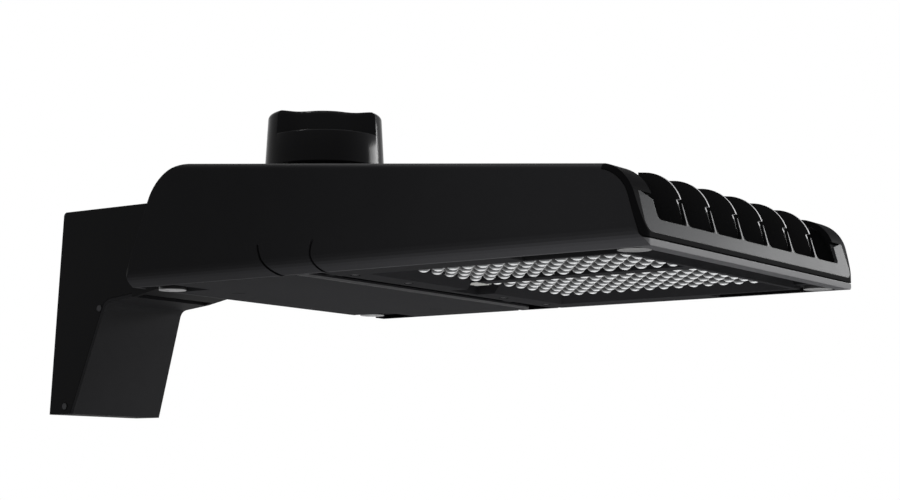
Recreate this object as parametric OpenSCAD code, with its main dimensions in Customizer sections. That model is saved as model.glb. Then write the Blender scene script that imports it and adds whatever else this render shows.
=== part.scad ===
// Shoebox area light: a wedge-shaped LED area luminaire on a short pole arm.
// Frame: origin at the centre of the arm's pole face, +X out towards the nose,
// +Z up. The flat underside of the housing lies in the plane z = 0.

/* [Housing] */
// Width of the housing across its side walls
body_w = 306; // [290:1:330]
// Length of the housing from its rear edge to the nose
body_l = 401; // [390:1:420]
// Height of the roof where the rear shoulder ends
rear_h = 80; // [76:1:88]
// Slope of the roof towards the nose, in degrees
roof_slope = 5.54; // [5:0.02:6]
// Wall thickness of the housing casting
wall = 3; // [2.5:0.1:3.5]
// Height of the rolled edge along the bottom of each side
roll_h = 10; // [8:0.5:11]
// How far the rolled edge turns under the side wall
roll_w = 8; // [6:0.5:9]
// Radius of the rear shoulder
shoulder_r = 36; // [30:1:40]
// Radius of the nose, where the roof turns down to the face
nose_r = 27; // [22:1:30]
// Radius of the front corners seen from above
corner_r = 8; // [6:0.5:10]

/* [Pole arm] */
// Distance from the pole face to the housing
arm_reach = 179; // [165:1:195]
// Height of the pole face
arm_h = 159.4; // [150:0.2:180]
// Width of the arm at its top edge
arm_top_w = 76; // [72:1:84]
// Width of the arm at its bottom edge
arm_bottom_w = 96; // [90:1:110]
// Wall thickness of the arm casting
arm_wall = 4; // [3:0.25:5]
// Thickness of the plate that bears on the pole
pole_plate_t = 7; // [6:0.5:9]
// Vertical distance between the two pole bolt holes
pole_bolt_pitch = 101.6; // [90:0.1:110]
// Diameter of each pole bolt hole
pole_bolt_d = 17.5; // [13:0.5:18]
// Diameter of the wire hole in the pole face
wire_hole_d = 25.4; // [20:0.2:30]
// Thickness of the folded arm cover
cover_t = 2.5; // [2:0.1:3]

/* [Nose] */
// Number of air openings across the nose
gills = 7; // [5:1:9]
// Distance between neighbouring nose fins
gill_pitch = 37.4; // [34:0.2:39]
// Thickness of a nose fin
fin_t = 2.4; // [2:0.1:3]
// How far the nose fins stand proud of the roof
fin_proud = 2; // [1:0.25:3]
// Height of the grey face plate's lower bar
face_bar_h = 8.7; // [7:0.5:10]
// Thickness of the face plate
face_t = 2; // [1.5:0.25:2.5]
// Height of the bottom lip that runs round the nose
lip_h = 4.2; // [3.5:0.1:5]
// Height of the dark groove over the lip
groove_h = 0.7; // [0.5:0.1:1]
// Height of the black strip between the groove and the face plate
strip_h = 3.1; // [2.5:0.1:4]

/* [Light engine] */
// LED columns along the housing in each bank
led_cols = 14; // [10:1:14]
// LED rows across the housing in each bank
led_rows = 7; // [5:1:7]
// Distance between LED columns
led_pitch_x = 11.7; // [11:0.1:11.8]
// Distance between LED rows
led_pitch_y = 15.4; // [14:0.1:15.6]
// Distance between the inner rows of the two banks
bank_gap = 27.4; // [26:0.2:32]
// Radius of the bubble lens over each LED
bubble_r = 5; // [4:0.1:5.2]
// Thickness of each LED circuit board
board_t = 1.6; // [1:0.1:2]
// Thickness of the heat sink base
sink_t = 4; // [3:0.5:5]
// Thickness of the inner cooling fins
inner_fin_t = 1.8; // [1.5:0.1:2.5]

/* [Driver door] */
// Length of the door along the housing
door_l = 138; // [130:1:140]
// Thickness of the door plate
door_t = 3; // [2.5:0.1:3.5]
// Diameter of the hinge pins
hinge_pin_d = 6; // [5:0.25:7]
// Diameter of the thumbscrew heads
thumb_d = 19; // [16:0.5:22]
// Length of the LED driver
driver_l = 104; // [90:1:108]
// Width of the LED driver
driver_w = 68; // [60:1:72]
// Height of the LED driver
driver_h = 36; // [30:1:38]

/* [Photocontrol] */
// Distance from the pole face to the axis of the shorting cap
cap_x = 231; // [229:1:250]
// Diameter of the shorting cap at its skirt
cap_d = 88; // [84:0.5:92]
// Height of the shorting cap
cap_h = 49; // [44:1:54]
// Wall thickness of the shorting cap
cap_wall = 2.4; // [2:0.1:3]
// Diameter of the receptacle's drum
drum_d = 66; // [60:0.5:68]

/* [Fits] */
// Seam between neighbouring fixed pieces
seam = 0.3; // [0.2:0.05:0.5]
// Gap round the driver door
door_gap = 0.8; // [0.6:0.1:1.2]
// Radial clearance of a pin in its running hole
pin_play = 0.08; // [0.05:0.01:0.15]

/* [Hidden] */
$fn = 48;
eps = 0.01;

// Housing outline, seen from the side
rear_x = arm_reach;
front_x = rear_x + body_l;
half_w = body_w / 2;
land_w = half_w - roll_w;
roof_from_x = rear_x + 58;
face_lean = 15.1;
rear_lean = 21.8;
edge_r = 5;
function roof_z(x) = rear_h - (x - roof_from_x) * tan(roof_slope);
function face_x(z) = front_x - (z - plate_z0) * tan(face_lean);
function rear_wall_x(z) = rear_x + (z - 8) * tan(rear_lean);

// Bay and engine positions along X
door_x0 = rear_x + wall + door_gap;
door_x1 = door_x0 + door_l;
hinge_x = door_x1 + 7.5;
hinge_r = 4.5;
hinge_z = 8;
engine_x0 = door_x1 + 20;
engine_x1 = front_x - 28;
slot_x0 = engine_x1 - 70;
bulkhead_x = engine_x0 - 4;
gill_x = front_x - 35;
sink_z = 12;
board_z = sink_z - board_t;
bank_y = bank_gap / 2 + (led_rows - 1) * led_pitch_y / 2;
led_x0 = engine_x0 + 33;
board_l = led_cols * led_pitch_x + 3;
board_w = led_rows * led_pitch_y + 1;
engine_w = 2 * bank_y + board_w + 19.4;
fin_front_set = face_t + seam;
frame_z0 = lip_h + groove_h;
plate_z0 = frame_z0 + strip_h;
plate_half_w = half_w - 4.5;
seam_inset = 3.7;
bar_z1 = plate_z0 + face_bar_h;
post_z = plate_z0 + 24;
cheek_y = gills * gill_pitch / 2;

// Arm shape
arm_top = rear_h - 0.3;
arm_z0 = arm_top - arm_h;
pole_z = arm_z0 + arm_h / 2;
fold_x = 52.7;
fold_z = 5;
tip_x = 80;
tip_z = 8;
toe_x = 25;

// Photocontrol heights
boss_z = roof_z(cap_x) + 2.5;
boss_d = 80;
gasket_t = 1.5;
flange_t = 3;
rec_z = boss_z + gasket_t;
drum_h = 8;
drum_z = rec_z + flange_t + drum_h;
cap_z = rec_z + flange_t + 0.6;

// ---------- outlines ----------
// Arc of radius r that rounds the corner p1 between p0 and p2.
function unit(v) = v / norm(v);
function corner_arc(p0, p1, p2, r, n) =
    r == 0 ? [p1] :
    let (a = unit(p0 - p1), b = unit(p2 - p1), half = acos(a * b) / 2,
         c = p1 + unit(a + b) * r / sin(half), s = p1 + a * r / tan(half) - c,
         e = p1 + b * r / tan(half) - c, a0 = atan2(s[1], s[0]),
         d = atan2(e[1], e[0]) - a0, turn = d > 180 ? d - 360 : d < -180 ? d + 360 : d)
    [for (i = [0:n]) c + r * [cos(a0 + turn * i / n), sin(a0 + turn * i / n)]];
// Outline whose corners carry the radii in r.
function rounded(p, r, n = 10) =
    let (m = len(p))
    [for (i = [0:m - 1]) each corner_arc(p[(i + m - 1) % m], p[i], p[(i + 1) % m], r[i], n)];
// Side outline of the housing, drawn in by t on every face but the bottom.
function side_outline(t, proud = 0) =
    let (roof_t = t - proud,
         rear = function (z) rear_wall_x(z) + t / cos(rear_lean),
         face = function (z) face_x(z) - t / cos(face_lean),
         roof = function (x) roof_z(x) - roof_t / cos(roof_slope),
         kr = tan(rear_lean), kf = tan(face_lean), km = tan(roof_slope),
         zr = (roof(0) - km * rear(0)) / (1 + km * kr),
         zf = (roof(0) - km * face(0)) / (1 - km * kf))
    rounded([[rear_x + t, 0], [rear_x + t, 8], [rear(zr), zr], [face(zf), zf],
             [face(plate_z0), plate_z0], [face(plate_z0), 0]],
            [0, 0, shoulder_r - t, nose_r - t, 0, 0], 14);

// Extrudes a side outline (X, Z) across the housing.
module across(w) {
    rotate([90, 0, 0])
        linear_extrude(height = w, center = true) children();
}
// Extrudes a front outline (Y, Z) along X from x0 to x1.
module along(x0, x1) {
    translate([x0, 0, 0])
        rotate([90, 0, 90])
            linear_extrude(height = x1 - x0) children();
}
// Rolled edges at the bottom of the sides, drawn in by t.
module edge_section(t) {
    b = 1.2;
    right = [for (i = [0:6]) let (u = i / 6)
        [land_w - t + roll_w * u + b * sin(180 * u), roll_h * u - 0.6 * b * sin(180 * u)]];
    left = [for (i = [6:-1:0]) [-right[i][0], right[i][1]]];
    polygon(concat([[land_w - t, -1]], right, [[half_w - t, 2 * rear_h], [t - half_w, 2 * rear_h]],
                   left, [[t - land_w, -1]]));
}
// Rounded edges along the roof, drawn in by t.
module roof_section(t) {
    square_w = 2 * (half_w - t);
    translate([0, -rear_h])
        polygon(rounded([[-square_w / 2, -rear_h], [square_w / 2, -rear_h],
                         [square_w / 2, rear_h - t], [-square_w / 2, rear_h - t]],
                        [0, 0, edge_r - t / 2, edge_r - t / 2], 6));
}
// Outline seen from above, drawn in by t.
module plan_section(t) {
    x0 = rear_x - 2 + t;
    x1 = front_x - t;
    y = half_w - t;
    polygon(rounded([[x0, -y], [x1, -y], [x1, y], [x0, y]],
                    [6 - t / 2, corner_r - t, corner_r - t, 6 - t / 2], 10));
}
// The whole wedge of the housing, drawn in by t.
module wedge(t) {
    intersection() {
        across(body_w + 2) polygon(side_outline(t));
        along(rear_x - 5, front_x + 5) edge_section(t);
        translate([roof_from_x, 0, rear_h])
            rotate([0, roof_slope, 0])
                translate([-roof_from_x, 0, 0])
                    along(-50, front_x + 50) roof_section(t);
        translate([0, 0, -2])
            linear_extrude(height = rear_h + 30) plan_section(t);
    }
}

// ---------- housing ----------
thumb_x = rear_x + 10;
thumb_y = land_w - 29;
lug_y = land_w - 47;
lug_w = 6;
ear_w = 7;
notch_l = 34;
notch_y = land_w - 40;
shelf_z = 4.5;
shelf_t = 3;
post_d = 10;
sink_post_y = engine_w / 2 - 6;
sink_post_x = [engine_x0 + 19, engine_x1 - 30];
driver_x = door_x0 + 30;
driver_y = 67 - land_w;
driver_z = 58;
surge_x = door_x0 + 70;
surge_y = 66;
surge_l = 46;
surge_w = 34;
surge_h = 26;
block_x = door_x0 + 62;
block_y = land_w - 37;
block_l = 42;
block_w = 24;
block_h = 20;
ear_l = 9;
ear_t = 2;
wire_z = 42;
arm_bolt_y = 24;
arm_bolt_z = [33, 54];
arm_bolt_d = 8;
boss_face_x = rear_x + 30;
seat_gap = 1.5;
body_drum_d = 58;
body_drum_h = 20;
corner_x = engine_x1 + 10;
corner_y = land_w - 14;
corner_head_d = 20;
front_wall_x = front_x - 9;

// Curved relief slot through the side skirt, on an arc about (cx, cz).
module skirt_slot(cx, cz, r, a0, a1) {
    slot_w = 1.5;
    points = [for (i = [0:12]) let (a = a0 + (a1 - a0) * i / 12)
        [cx + (r + slot_w / 2) * cos(a), cz + (r + slot_w / 2) * sin(a)]];
    back = [for (i = [12:-1:0]) let (a = a0 + (a1 - a0) * i / 12)
        [cx + (r - slot_w / 2) * cos(a), cz + (r - slot_w / 2) * sin(a)]];
    for (side = [-1, 1])
        translate([0, side * (half_w - 3), 0])
            across(18) polygon(concat(points, back));
}
// Space in front of the nose seam, down to the groove, for the nose frame.
// The seam turns forward into the groove on a small arc.
module nose_zone(t, z0) {
    x0 = front_x - t / cos(face_lean);
    r = plate_z0 - z0;
    across(3 * body_w)
        difference() {
            translate([front_x - 27, z0])
                square([60, rear_h]);
            polygon(side_outline(t));
            polygon(concat([[x0 - 1, z0 - 1], [x0 + r, z0 - 1]],
                           [for (i = [0:6]) [x0 + r - r * sin(15 * i), z0 + r - r * cos(15 * i)]],
                           [[x0 - 1, plate_z0]]));
        }
}
// Post that hangs from the roof down to height z.
module roof_post(x, y, z) {
    translate([x, y, z])
        cylinder(h = roof_z(x) - z - wall / 2, d = post_d);
}
module screw_hole(x, y, z, d, depth) {
    translate([x, y, z - eps])
        cylinder(h = depth, d = d, $fn = 24);
}
function part_posts() = [[driver_x - ear_l / 2, driver_y], [driver_x + driver_l + ear_l / 2, driver_y],
                         [surge_x - ear_l / 2, surge_y], [surge_x + surge_l + ear_l / 2, surge_y],
                         [block_x - ear_l / 2, block_y], [block_x + block_l + ear_l / 2, block_y]];

module housing_hollow() {
    difference() {
        wedge(wall);
        translate([front_wall_x, -body_w, -5])
            cube([40, 2 * body_w, bar_z1 + 5]);
    }
    translate([door_x0 - door_gap, wall - land_w, -1])
        cube([front_wall_x - door_x0 + door_gap, 2 * (land_w - wall), 4]);
}
module bulkhead() {
    intersection() {
        wedge(wall / 2);
        translate([bulkhead_x - wall, -body_w, 9])
            cube([wall, 2 * body_w, rear_h]);
    }
    for (side = [-1, 1])
        translate([hinge_x - 5, side * (lug_y + lug_w / 2) - lug_w / 2, hinge_z - 5])
            cube([bulkhead_x - hinge_x + 4, lug_w, 12]);
}
module housing_posts() {
    for (x = sink_post_x, side = [-1, 1])
        roof_post(x, side * sink_post_y, sink_z + sink_t);
    for (p = part_posts())
        roof_post(p[0], p[1], driver_z);
    for (side = [-1, 1]) {
        translate([thumb_x, side * thumb_y, 10])
            cylinder(h = 16, d = 14);
        intersection() {
            wedge(wall / 2);
            translate([engine_x1 + 0.5, side * (corner_y + 2) - 13, 5 + seam])
                cube([40, 26, 9]);
        }
    }
    for (y = [-arm_bolt_y, arm_bolt_y], z = arm_bolt_z)
        translate([rear_x + 4, y, z])
            rotate([0, 90, 0])
                cylinder(h = boss_face_x - rear_x - 4, d = 18);
}
module housing() {
    color("#17181a")
    difference() {
        union() {
            difference() {
                union() {
                    wedge(0);
                    translate([cap_x, 0, rear_h - 32])
                        cylinder(h = boss_z - rear_h + 32, d = boss_d);
                }
                housing_hollow();
            }
            bulkhead();
            intersection() {
                housing_posts();
                wedge(wall / 2);
            }
        }
        nose_zone(seam_inset + seam, lip_h);
        translate([gill_x, -cheek_y, bar_z1])
            cube([60, 2 * cheek_y, rear_h]);
        translate([cap_x, 0, rear_h - 40])
            cylinder(h = 60, d = body_drum_d + 4);
        for (side = [-1, 1]) {
            screw_hole(thumb_x, side * thumb_y, 10, 7.6, 13);
            screw_hole(corner_x, side * corner_y, 4, 5.2, 9);
            screw_hole(corner_x, side * corner_y, -1, corner_head_d + 1, 3.4);
            translate([rear_x - 1, side * (notch_y + 14.5) - 14.5, -1])
                cube([wall + 2, 29, shelf_z - 0.7]);
            translate([hinge_x, side * (lug_y + lug_w / 2), hinge_z])
                rotate([90, 0, 0])
                    cylinder(h = lug_w + 2, d = hinge_pin_d + 0.1, center = true);
        }
        for (x = sink_post_x, side = [-1, 1])
            screw_hole(x, side * sink_post_y, sink_z + sink_t, 3.4, 12);
        for (y = frame_screw_y)
            translate([front_wall_x - 1, y, frame_screw_z])
                rotate([0, 90, 0])
                    cylinder(h = 12, d = 3.5, $fn = 24);
        for (p = part_posts())
            screw_hole(p[0], p[1], driver_z, 3.4, 8);
        for (y = [-arm_bolt_y, arm_bolt_y], z = arm_bolt_z)
            translate([rear_x - 5, y, z])
                rotate([0, 90, 0])
                    cylinder(h = 60, d = arm_bolt_d + 0.6);
        translate([rear_x - 5, 0, wire_z])
            rotate([0, 90, 0])
                cylinder(h = 40, d = 22);
        translate([bulkhead_x - wall - 1, 0, 30])
            rotate([0, 90, 0])
                cylinder(h = wall + 2, d = 14);
        for (a = receptacle_screw_angles)
            translate([cap_x, 0, 0])
                rotate([0, 0, a])
                    screw_hole(receptacle_screw_r, 0, boss_z - 8, 2.9, 9);
        skirt_slot(rear_x + 142, 22, 24.6, 184, 252);
        skirt_slot(hinge_x + 27, 12, 15.5, 148, 245);
    }
}

// ---------- pole arm ----------
function half_arm(z) =
    (arm_top_w + (arm_bottom_w - arm_top_w) * (arm_top - z) / arm_h) / 2;
// Corner of a path, moved t to the left of its direction.
function left_of(a, b) = let (d = unit(b - a)) [-d[1], d[0]];
function offset_corner(p0, p1, p2, t) =
    let (n1 = left_of(p0, p1), n2 = left_of(p1, p2))
    p1 + (n1 + n2) * t / (1 + n1 * n2);
// Path of the cover's face, moved t into the arm.
function cover_path(t) =
    let (a = [toe_x, arm_z0], b = [fold_x, fold_z], c = [tip_x, tip_z],
         a1 = a + left_of(a, b) * t, b1 = offset_corner(a, b, c, t), c1 = c + left_of(b, c) * t,
         a2 = a1 + (arm_z0 - a1[1]) / (b1[1] - a1[1]) * (b1 - a1))
    concat([a2], corner_arc(a2, b1, c1, 8 + t, 8), [c1]);
module arm_section(t) {
    z0 = arm_z0 - 1;
    z1 = arm_top + 1;
    polygon([[-half_arm(z0) + t, z0], [half_arm(z0) - t, z0],
             [half_arm(z1) - t, z1], [-half_arm(z1) + t, z1]]);
}
module arm_outline() {
    polygon(concat([[0, arm_z0], [0, arm_top - 2.5], [0.8, arm_top - 0.8], [2.5, arm_top],
                    [rear_x + 70, arm_top], [rear_x + 70, 34], [rear_x - 3, 26], [tip_x + 0.5, tip_z]],
                   [for (p = [for (i = [len(cover_path(0)) - 1:-1:0]) cover_path(cover_t + seam)[i]]) p]));
}
module arm_hollow() {
    x1 = rear_x - 12;
    polygon([[pole_plate_t, arm_z0 + 3], [pole_plate_t, arm_top - arm_wall],
             [x1 + 18, arm_top - arm_wall], [x1, 30], [tip_x + 12, tip_z + arm_wall + 3],
             [tip_x - 5, -10], [toe_x + 30, arm_z0 + 3]]);
}
// What the arm's front end fits against: the housing and its roof boss.
module arm_seat(gap) {
    across(2 * arm_bottom_w) polygon(side_outline(-gap));
    translate([cap_x, 0, -1])
        cylinder(h = rear_h + 20, d = boss_d + 2 * gap);
}
module pole_arm() {
    color("#1a1b1d")
    difference() {
        intersection() {
            across(2 * arm_bottom_w) arm_outline();
            along(-1, rear_x + 80) arm_section(0);
        }
        intersection() {
            across(2 * arm_bottom_w) arm_hollow();
            along(-1, rear_x + 80) arm_section(arm_wall);
        }
        arm_seat(seat_gap);
        for (z = [-pole_bolt_pitch / 2, pole_bolt_pitch / 2])
            translate([-1, 0, pole_z + z])
                rotate([0, 90, 0])
                    cylinder(h = pole_plate_t + 2, d = pole_bolt_d);
        translate([-1, 0, pole_z])
            rotate([0, 90, 0])
                cylinder(h = pole_plate_t + 2, d = wire_hole_d);
        translate([rear_x - 40, 0, wire_z])
            rotate([0, 90, 0])
                cylinder(h = 60, d = 22);
        for (y = [-arm_bolt_y, arm_bolt_y], z = arm_bolt_z)
            translate([rear_x - 40, y, z])
                rotate([0, 90, 0])
                    cylinder(h = 60, d = arm_bolt_d + 0.1);
        arm_screw_places() {
            cylinder(h = 14, d = 3.4, $fn = 24);
            cylinder(h = 1.2, d = 5, $fn = 24);
        }
    }
}
module arm_gasket() {
    color("#202020")
    difference() {
        intersection() {
            difference() {
                arm_seat(seat_gap);
                arm_seat(0);
            }
            translate([0, -60, 32])
                cube([rear_x + 40, 120, arm_top - 33]);
            translate([0, -60, 24])
                cube([rear_x + 20, 120, 34]);
            along(0, rear_x + 60) arm_section(3);
        }
        translate([rear_x - 5, 0, wire_z])
            rotate([0, 90, 0])
                cylinder(h = 60, d = 24);
        for (y = [-arm_bolt_y, arm_bolt_y], z = arm_bolt_z)
            translate([rear_x - 5, y, z])
                rotate([0, 90, 0])
                    cylinder(h = 60, d = arm_bolt_d + 1);
    }
}
module arm_bolts() {
    color("#9a9da0")
    for (y = [-arm_bolt_y, arm_bolt_y], z = arm_bolt_z)
        translate([boss_face_x, y, z])
            rotate([0, 90, 0]) {
                cylinder(h = 5.5, d = 13 / cos(30), $fn = 6);
                cylinder(h = 1.6, d = 17);
                translate([0, 0, -34])
                    cylinder(h = 34 + eps, d = arm_bolt_d);
            }
}
cover_screws = [[fold_x - 6.6, fold_z - 4], [toe_x - 9, arm_z0 + 6]];
module arm_screw_places() {
    for (p = cover_screws, side = [-1, 1])
        translate([p[0], side * (half_arm(p[1]) + 0.6), p[1]])
            rotate([side * 90, 0, 0])
                children();
}
module arm_cover() {
    color("#212224")
    difference() {
        union() {
            intersection() {
                across(2 * arm_bottom_w)
                    polygon(concat(cover_path(0), [for (i = [len(cover_path(0)) - 1:-1:0]) cover_path(cover_t)[i]]));
                along(-1, tip_x + 5) arm_section(0);
            }
            for (p = cover_screws, side = [-1, 1])
                intersection() {
                    translate([p[0] - 6, side * (half_arm(p[1] + 5) - arm_wall - 1.8) - 1.2, max(p[1] - 5, arm_z0 + 3.4)])
                        cube([22, 2.4, 8.5]);
                    across(2 * arm_bottom_w)
                        polygon(concat([[toe_x - 15, arm_z0 + 3.3], [toe_x - 15, 40]], [for (i = [len(cover_path(0)) - 1:-1:0]) cover_path(cover_t / 2)[i]]));
                }
        }
        arm_screw_places() cylinder(h = 14, d = 2.9, $fn = 24);
    }
}
module arm_cover_screws() {
    color("#2c2c2e")
    arm_screw_places() {
        cylinder(h = 1.1, d = 4.8, $fn = 24);
        translate([0, 0, 0.5])
            cylinder(h = 8.5, d = 2.8, $fn = 24);
    }
}

// ---------- nose ----------
function fin_y(k) = (k - (gills - 2) / 2) * gill_pitch;
rib_w = 3;
rib_z1 = plate_z0 + 23;
module face_rim(grow) {
    y = plate_half_w + grow;
    polygon(rounded([[-y, plate_z0 - grow], [y, plate_z0 - grow], [y - 2.2, post_z], [-y + 2.2, post_z]],
                    [7, 7, 0, 0], 8));
}
module face_outline() {
    difference() {
        face_rim(0);
        for (side = [-1, 1])
            polygon([[side * cheek_y, post_z - 3.5], [side * (plate_half_w - 4), post_z + 0.1],
                     [side * (plate_half_w - 4), post_z + 9], [side * cheek_y, post_z + 9]]);
        for (k = [0:gills - 1]) {
            y0 = k == 0 ? -cheek_y : fin_y(k - 1) + rib_w / 2;
            y1 = k == gills - 1 ? cheek_y : fin_y(k) - rib_w / 2;
            grow0 = k == 0 ? 0 : 1.2;
            grow1 = k == gills - 1 ? 0 : 1.2;
            polygon(rounded([[y0, bar_z1], [y1, bar_z1], [y1 + grow1, rib_z1], [y1 + grow1, post_z + 9],
                             [y0 - grow0, post_z + 9], [y0 - grow0, rib_z1]], [4, 3, 0, 0, 0, 0], 6));
        }
    }
}
module nose_plate() {
    color("#6f7276")
    intersection() {
        along(front_x - 30, front_x + 1) face_outline();
        difference() {
            wedge(0);
            across(3 * body_w) polygon(side_outline(face_t));
        }
        for (k = [-1:gills - 1])
            translate([0, fin_y(k) - gill_pitch / 2 - (k < 0 ? gill_pitch : 0), plate_z0])
                cube([2 * front_x, gill_pitch * (k < 0 || k == gills - 1 ? 2 : 1) , (k < 0 || k == gills - 1 ? post_z : rib_z1) - plate_z0]);
    }
}
frame_screw_y = [-3 * gill_pitch, -gill_pitch, gill_pitch, 3 * gill_pitch];
frame_screw_z = plate_z0 + 3.6;
module nose_frame() {
    color("#0e0e10")
    difference() {
        intersection() {
            wedge(0);
            nose_zone(seam_inset, frame_z0);
        }
        translate([gill_x - 5, -cheek_y, bar_z1])
            cube([60, 2 * cheek_y, rear_h]);
        intersection() {
            along(front_x - 30, front_x + 1) face_rim(0.15);
            difference() {
                translate([front_x - 40, -body_w, 0])
                    cube([60, 2 * body_w, 2 * rear_h]);
                across(3 * body_w) polygon(side_outline(face_t + 0.05));
            }
        }
        for (y = frame_screw_y)
            translate([front_wall_x, y, frame_screw_z])
                rotate([0, 90, 0])
                    cylinder(h = 5.3, d = 3.3, $fn = 24);
    }
}
module nose_frame_screws() {
    color("#5b5d60")
    for (y = frame_screw_y)
        translate([front_wall_x, y, frame_screw_z])
            rotate([0, 90, 0]) {
                cylinder(h = 5.2, d = 3.2, $fn = 24);
                translate([0, 0, -2])
                    cylinder(h = 2, d = 6.5, $fn = 24);
            }
}

// ---------- light engine ----------
module fin_shape() {
    difference() {
        union() {
            intersection() {
                polygon(side_outline(wall + 0.5));
                translate([engine_x0 + 4, 0])
                    square([gill_x + 6 - engine_x0, rear_h]);
            }
            intersection() {
                polygon(side_outline(0, fin_proud));
                translate([gill_x + seam, post_z + 1.5])
                    square([60, rear_h]);
            }
            intersection() {
                polygon(side_outline(fin_front_set));
                translate([gill_x - 2, 0])
                    square([60, post_z + 2]);
            }
        }
        square([engine_x1 - 4, sink_z]);
        translate([engine_x1 - 6, -1])
            square([60, bar_z1 + 1 + seam]);
    }
}
module heat_sink() {
    color("#141416")
    difference() {
        union() {
            translate([engine_x0 + 2, -engine_w / 2 + 3, sink_z])
                cube([engine_x1 - engine_x0 - 6, engine_w - 6, sink_t]);
            for (k = [0:gills - 2])
                translate([0, fin_y(k), 0])
                    across(fin_t) fin_shape();
            for (k = [0:gills - 3], j = [1, 2])
                translate([0, fin_y(k) + j * gill_pitch / 3, 0])
                    across(inner_fin_t)
                        intersection() {
                            polygon(side_outline(wall + 2));
                            translate([engine_x0 + 16, sink_z])
                                square([gill_x - engine_x0 - 26, rear_h]);
                        }
        }
        for (x = sink_post_x, side = [-1, 1])
            screw_hole(x, side * sink_post_y, sink_z - 1, 4.2, sink_t + 2);
        for (p = bezel_screw_places)
            screw_hole(p[0], p[1], sink_z - 1, 2.9, sink_t + 2);
        translate([engine_x0 + 12, 0, sink_z - 1])
            cylinder(h = sink_t + 2, d = 10);
    }
}
module heat_sink_screws() {
    color("#8d9092")
    for (x = sink_post_x, side = [-1, 1])
        translate([x, side * sink_post_y, sink_z])
            rotate([180, 0, 0]) {
                cylinder(h = 2.4, d = 5.8, $fn = 32);
                translate([0, 0, -sink_t - 9])
                    cylinder(h = sink_t + 9 + eps, d = 3.2, $fn = 24);
            }
}
bezel_screw_y = engine_w / 2 - 6;
bezel_screw_places = [for (y = [-bezel_screw_y, bezel_screw_y, -bezel_screw_y / 2, bezel_screw_y / 2])
                      [engine_x0 + 9, y]];
window_x0 = led_x0 - 12;
window_x1 = engine_x1 - 4;
window_y = engine_w / 2 - 4;
bezel_h = 7.4;
module engine_bezel() {
    color("#26272a")
    difference() {
        union() {
            translate([engine_x0, -engine_w / 2, 0])
                cube([engine_x1 - engine_x0, engine_w, bezel_h]);
            translate([engine_x0, seam - land_w + wall, 0])
                cube([slot_x0 - engine_x0, 2 * (land_w - wall - seam), 3]);
            for (p = bezel_screw_places)
                translate([p[0], p[1], 0])
                    cylinder(h = sink_z, d = 8);
            for (side = [-1, 1]) {
                translate([corner_x, side * corner_y, 2.3])
                    cylinder(h = 2.7, d = corner_head_d - 2);
                translate([engine_x1 - 12, side * (corner_y - 8) - 9, 2.3])
                    cube([22, 18, 2.7]);
            }
        }
        difference() {
            intersection() {
                across(engine_w)
                    polygon([[window_x0, -1], [window_x0, 0], [led_x0 - 6, bezel_h], [led_x0 - 6, bezel_h + 1],
                             [led_x0 + (led_cols - 1) * led_pitch_x + 6, bezel_h + 1],
                             [led_x0 + (led_cols - 1) * led_pitch_x + 6, bezel_h], [window_x1, 0], [window_x1, -1]]);
                along(engine_x0, engine_x1)
                    polygon([[-window_y, -1], [window_y, -1], [window_y, 0], [bank_y * 2 - bank_gap / 2 + 6, bezel_h],
                             [bank_y * 2 - bank_gap / 2 + 6, bezel_h + 1], [-bank_y * 2 + bank_gap / 2 - 6, bezel_h + 1],
                             [-bank_y * 2 + bank_gap / 2 - 6, bezel_h], [-window_y, 0]]);
            }
            translate([window_x0 - 5, -bank_gap / 2 + bubble_r + 1.5, 4.5])
                cube([window_x1 - window_x0 + 10, bank_gap - 2 * bubble_r - 3, 10]);
        }
        translate([engine_x0 + 7, -6, -1])
            cube([22, 34, 20]);
        for (p = bezel_screw_places)
            screw_hole(p[0], p[1], -1, 3.4, sink_z + 2);
        for (p = bezel_screw_places)
            screw_hole(p[0], p[1], -1, 7, 3.2);
        for (side = [-1, 1])
            screw_hole(corner_x, side * corner_y, 0, 5.6, 9);
        for (x = sink_post_x, side = [-1, 1])
            screw_hole(x, side * sink_post_y, bezel_h - 2, 7, 5);
    }
}
module bezel_screws() {
    color("#a5a8aa")
    for (p = bezel_screw_places)
        translate([p[0], p[1], 0.4]) {
            cylinder(h = 1.75, d = 6, $fn = 24);
            cylinder(h = sink_z + sink_t - 1, d = 2.8, $fn = 24);
        }
}
module corner_screws() {
    color("#8e9194")
    for (side = [-1, 1])
        translate([corner_x, side * corner_y, 0]) {
            cylinder(h = 2.2, d = corner_head_d);
            cylinder(h = 12, d = 5, $fn = 32);
        }
}
module led_grid(side) {
    for (i = [0:led_cols - 1], j = [0:led_rows - 1])
        translate([led_x0 + i * led_pitch_x, side * (bank_gap / 2 + j * led_pitch_y)])
            children();
}
module led_board(side) {
    color("#d9dcd6")
    union() {
        translate([led_x0 - led_pitch_x / 2 - 1.5, side * bank_y - board_w / 2, board_z])
            cube([board_l, board_w, board_t]);
        translate([0, 0, board_z - 0.8])
            linear_extrude(height = 0.8 + eps)
                led_grid(side) square(3.4, center = true);
    }
}
module led_board_near() { led_board(-1); }
module led_board_far() { led_board(1); }
optic_z1 = board_z - 1;
optic_z0 = optic_z1 - 1.8;
bubble_h = 3.2;
module optic(side) {
    ball_r = (bubble_r * bubble_r + bubble_h * bubble_h) / (2 * bubble_h);
    color("#e8eef2", 0.6)
    union() {
        translate([led_x0 - led_pitch_x / 2 - 1.5, side * bank_y - board_w / 2, optic_z0])
            cube([board_l, board_w, optic_z1 - optic_z0]);
        for (i = [0:led_cols - 1], j = [0:led_rows - 1])
            translate([led_x0 + i * led_pitch_x, side * (bank_gap / 2 + j * led_pitch_y), optic_z0 - bubble_h])
                intersection() {
                    translate([0, 0, ball_r])
                        sphere(r = ball_r, $fn = 32);
                    cylinder(h = bubble_h + 0.5, r = ball_r);
                }
    }
}
module optic_near() { optic(-1); }
module optic_far() { optic(1); }
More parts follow.
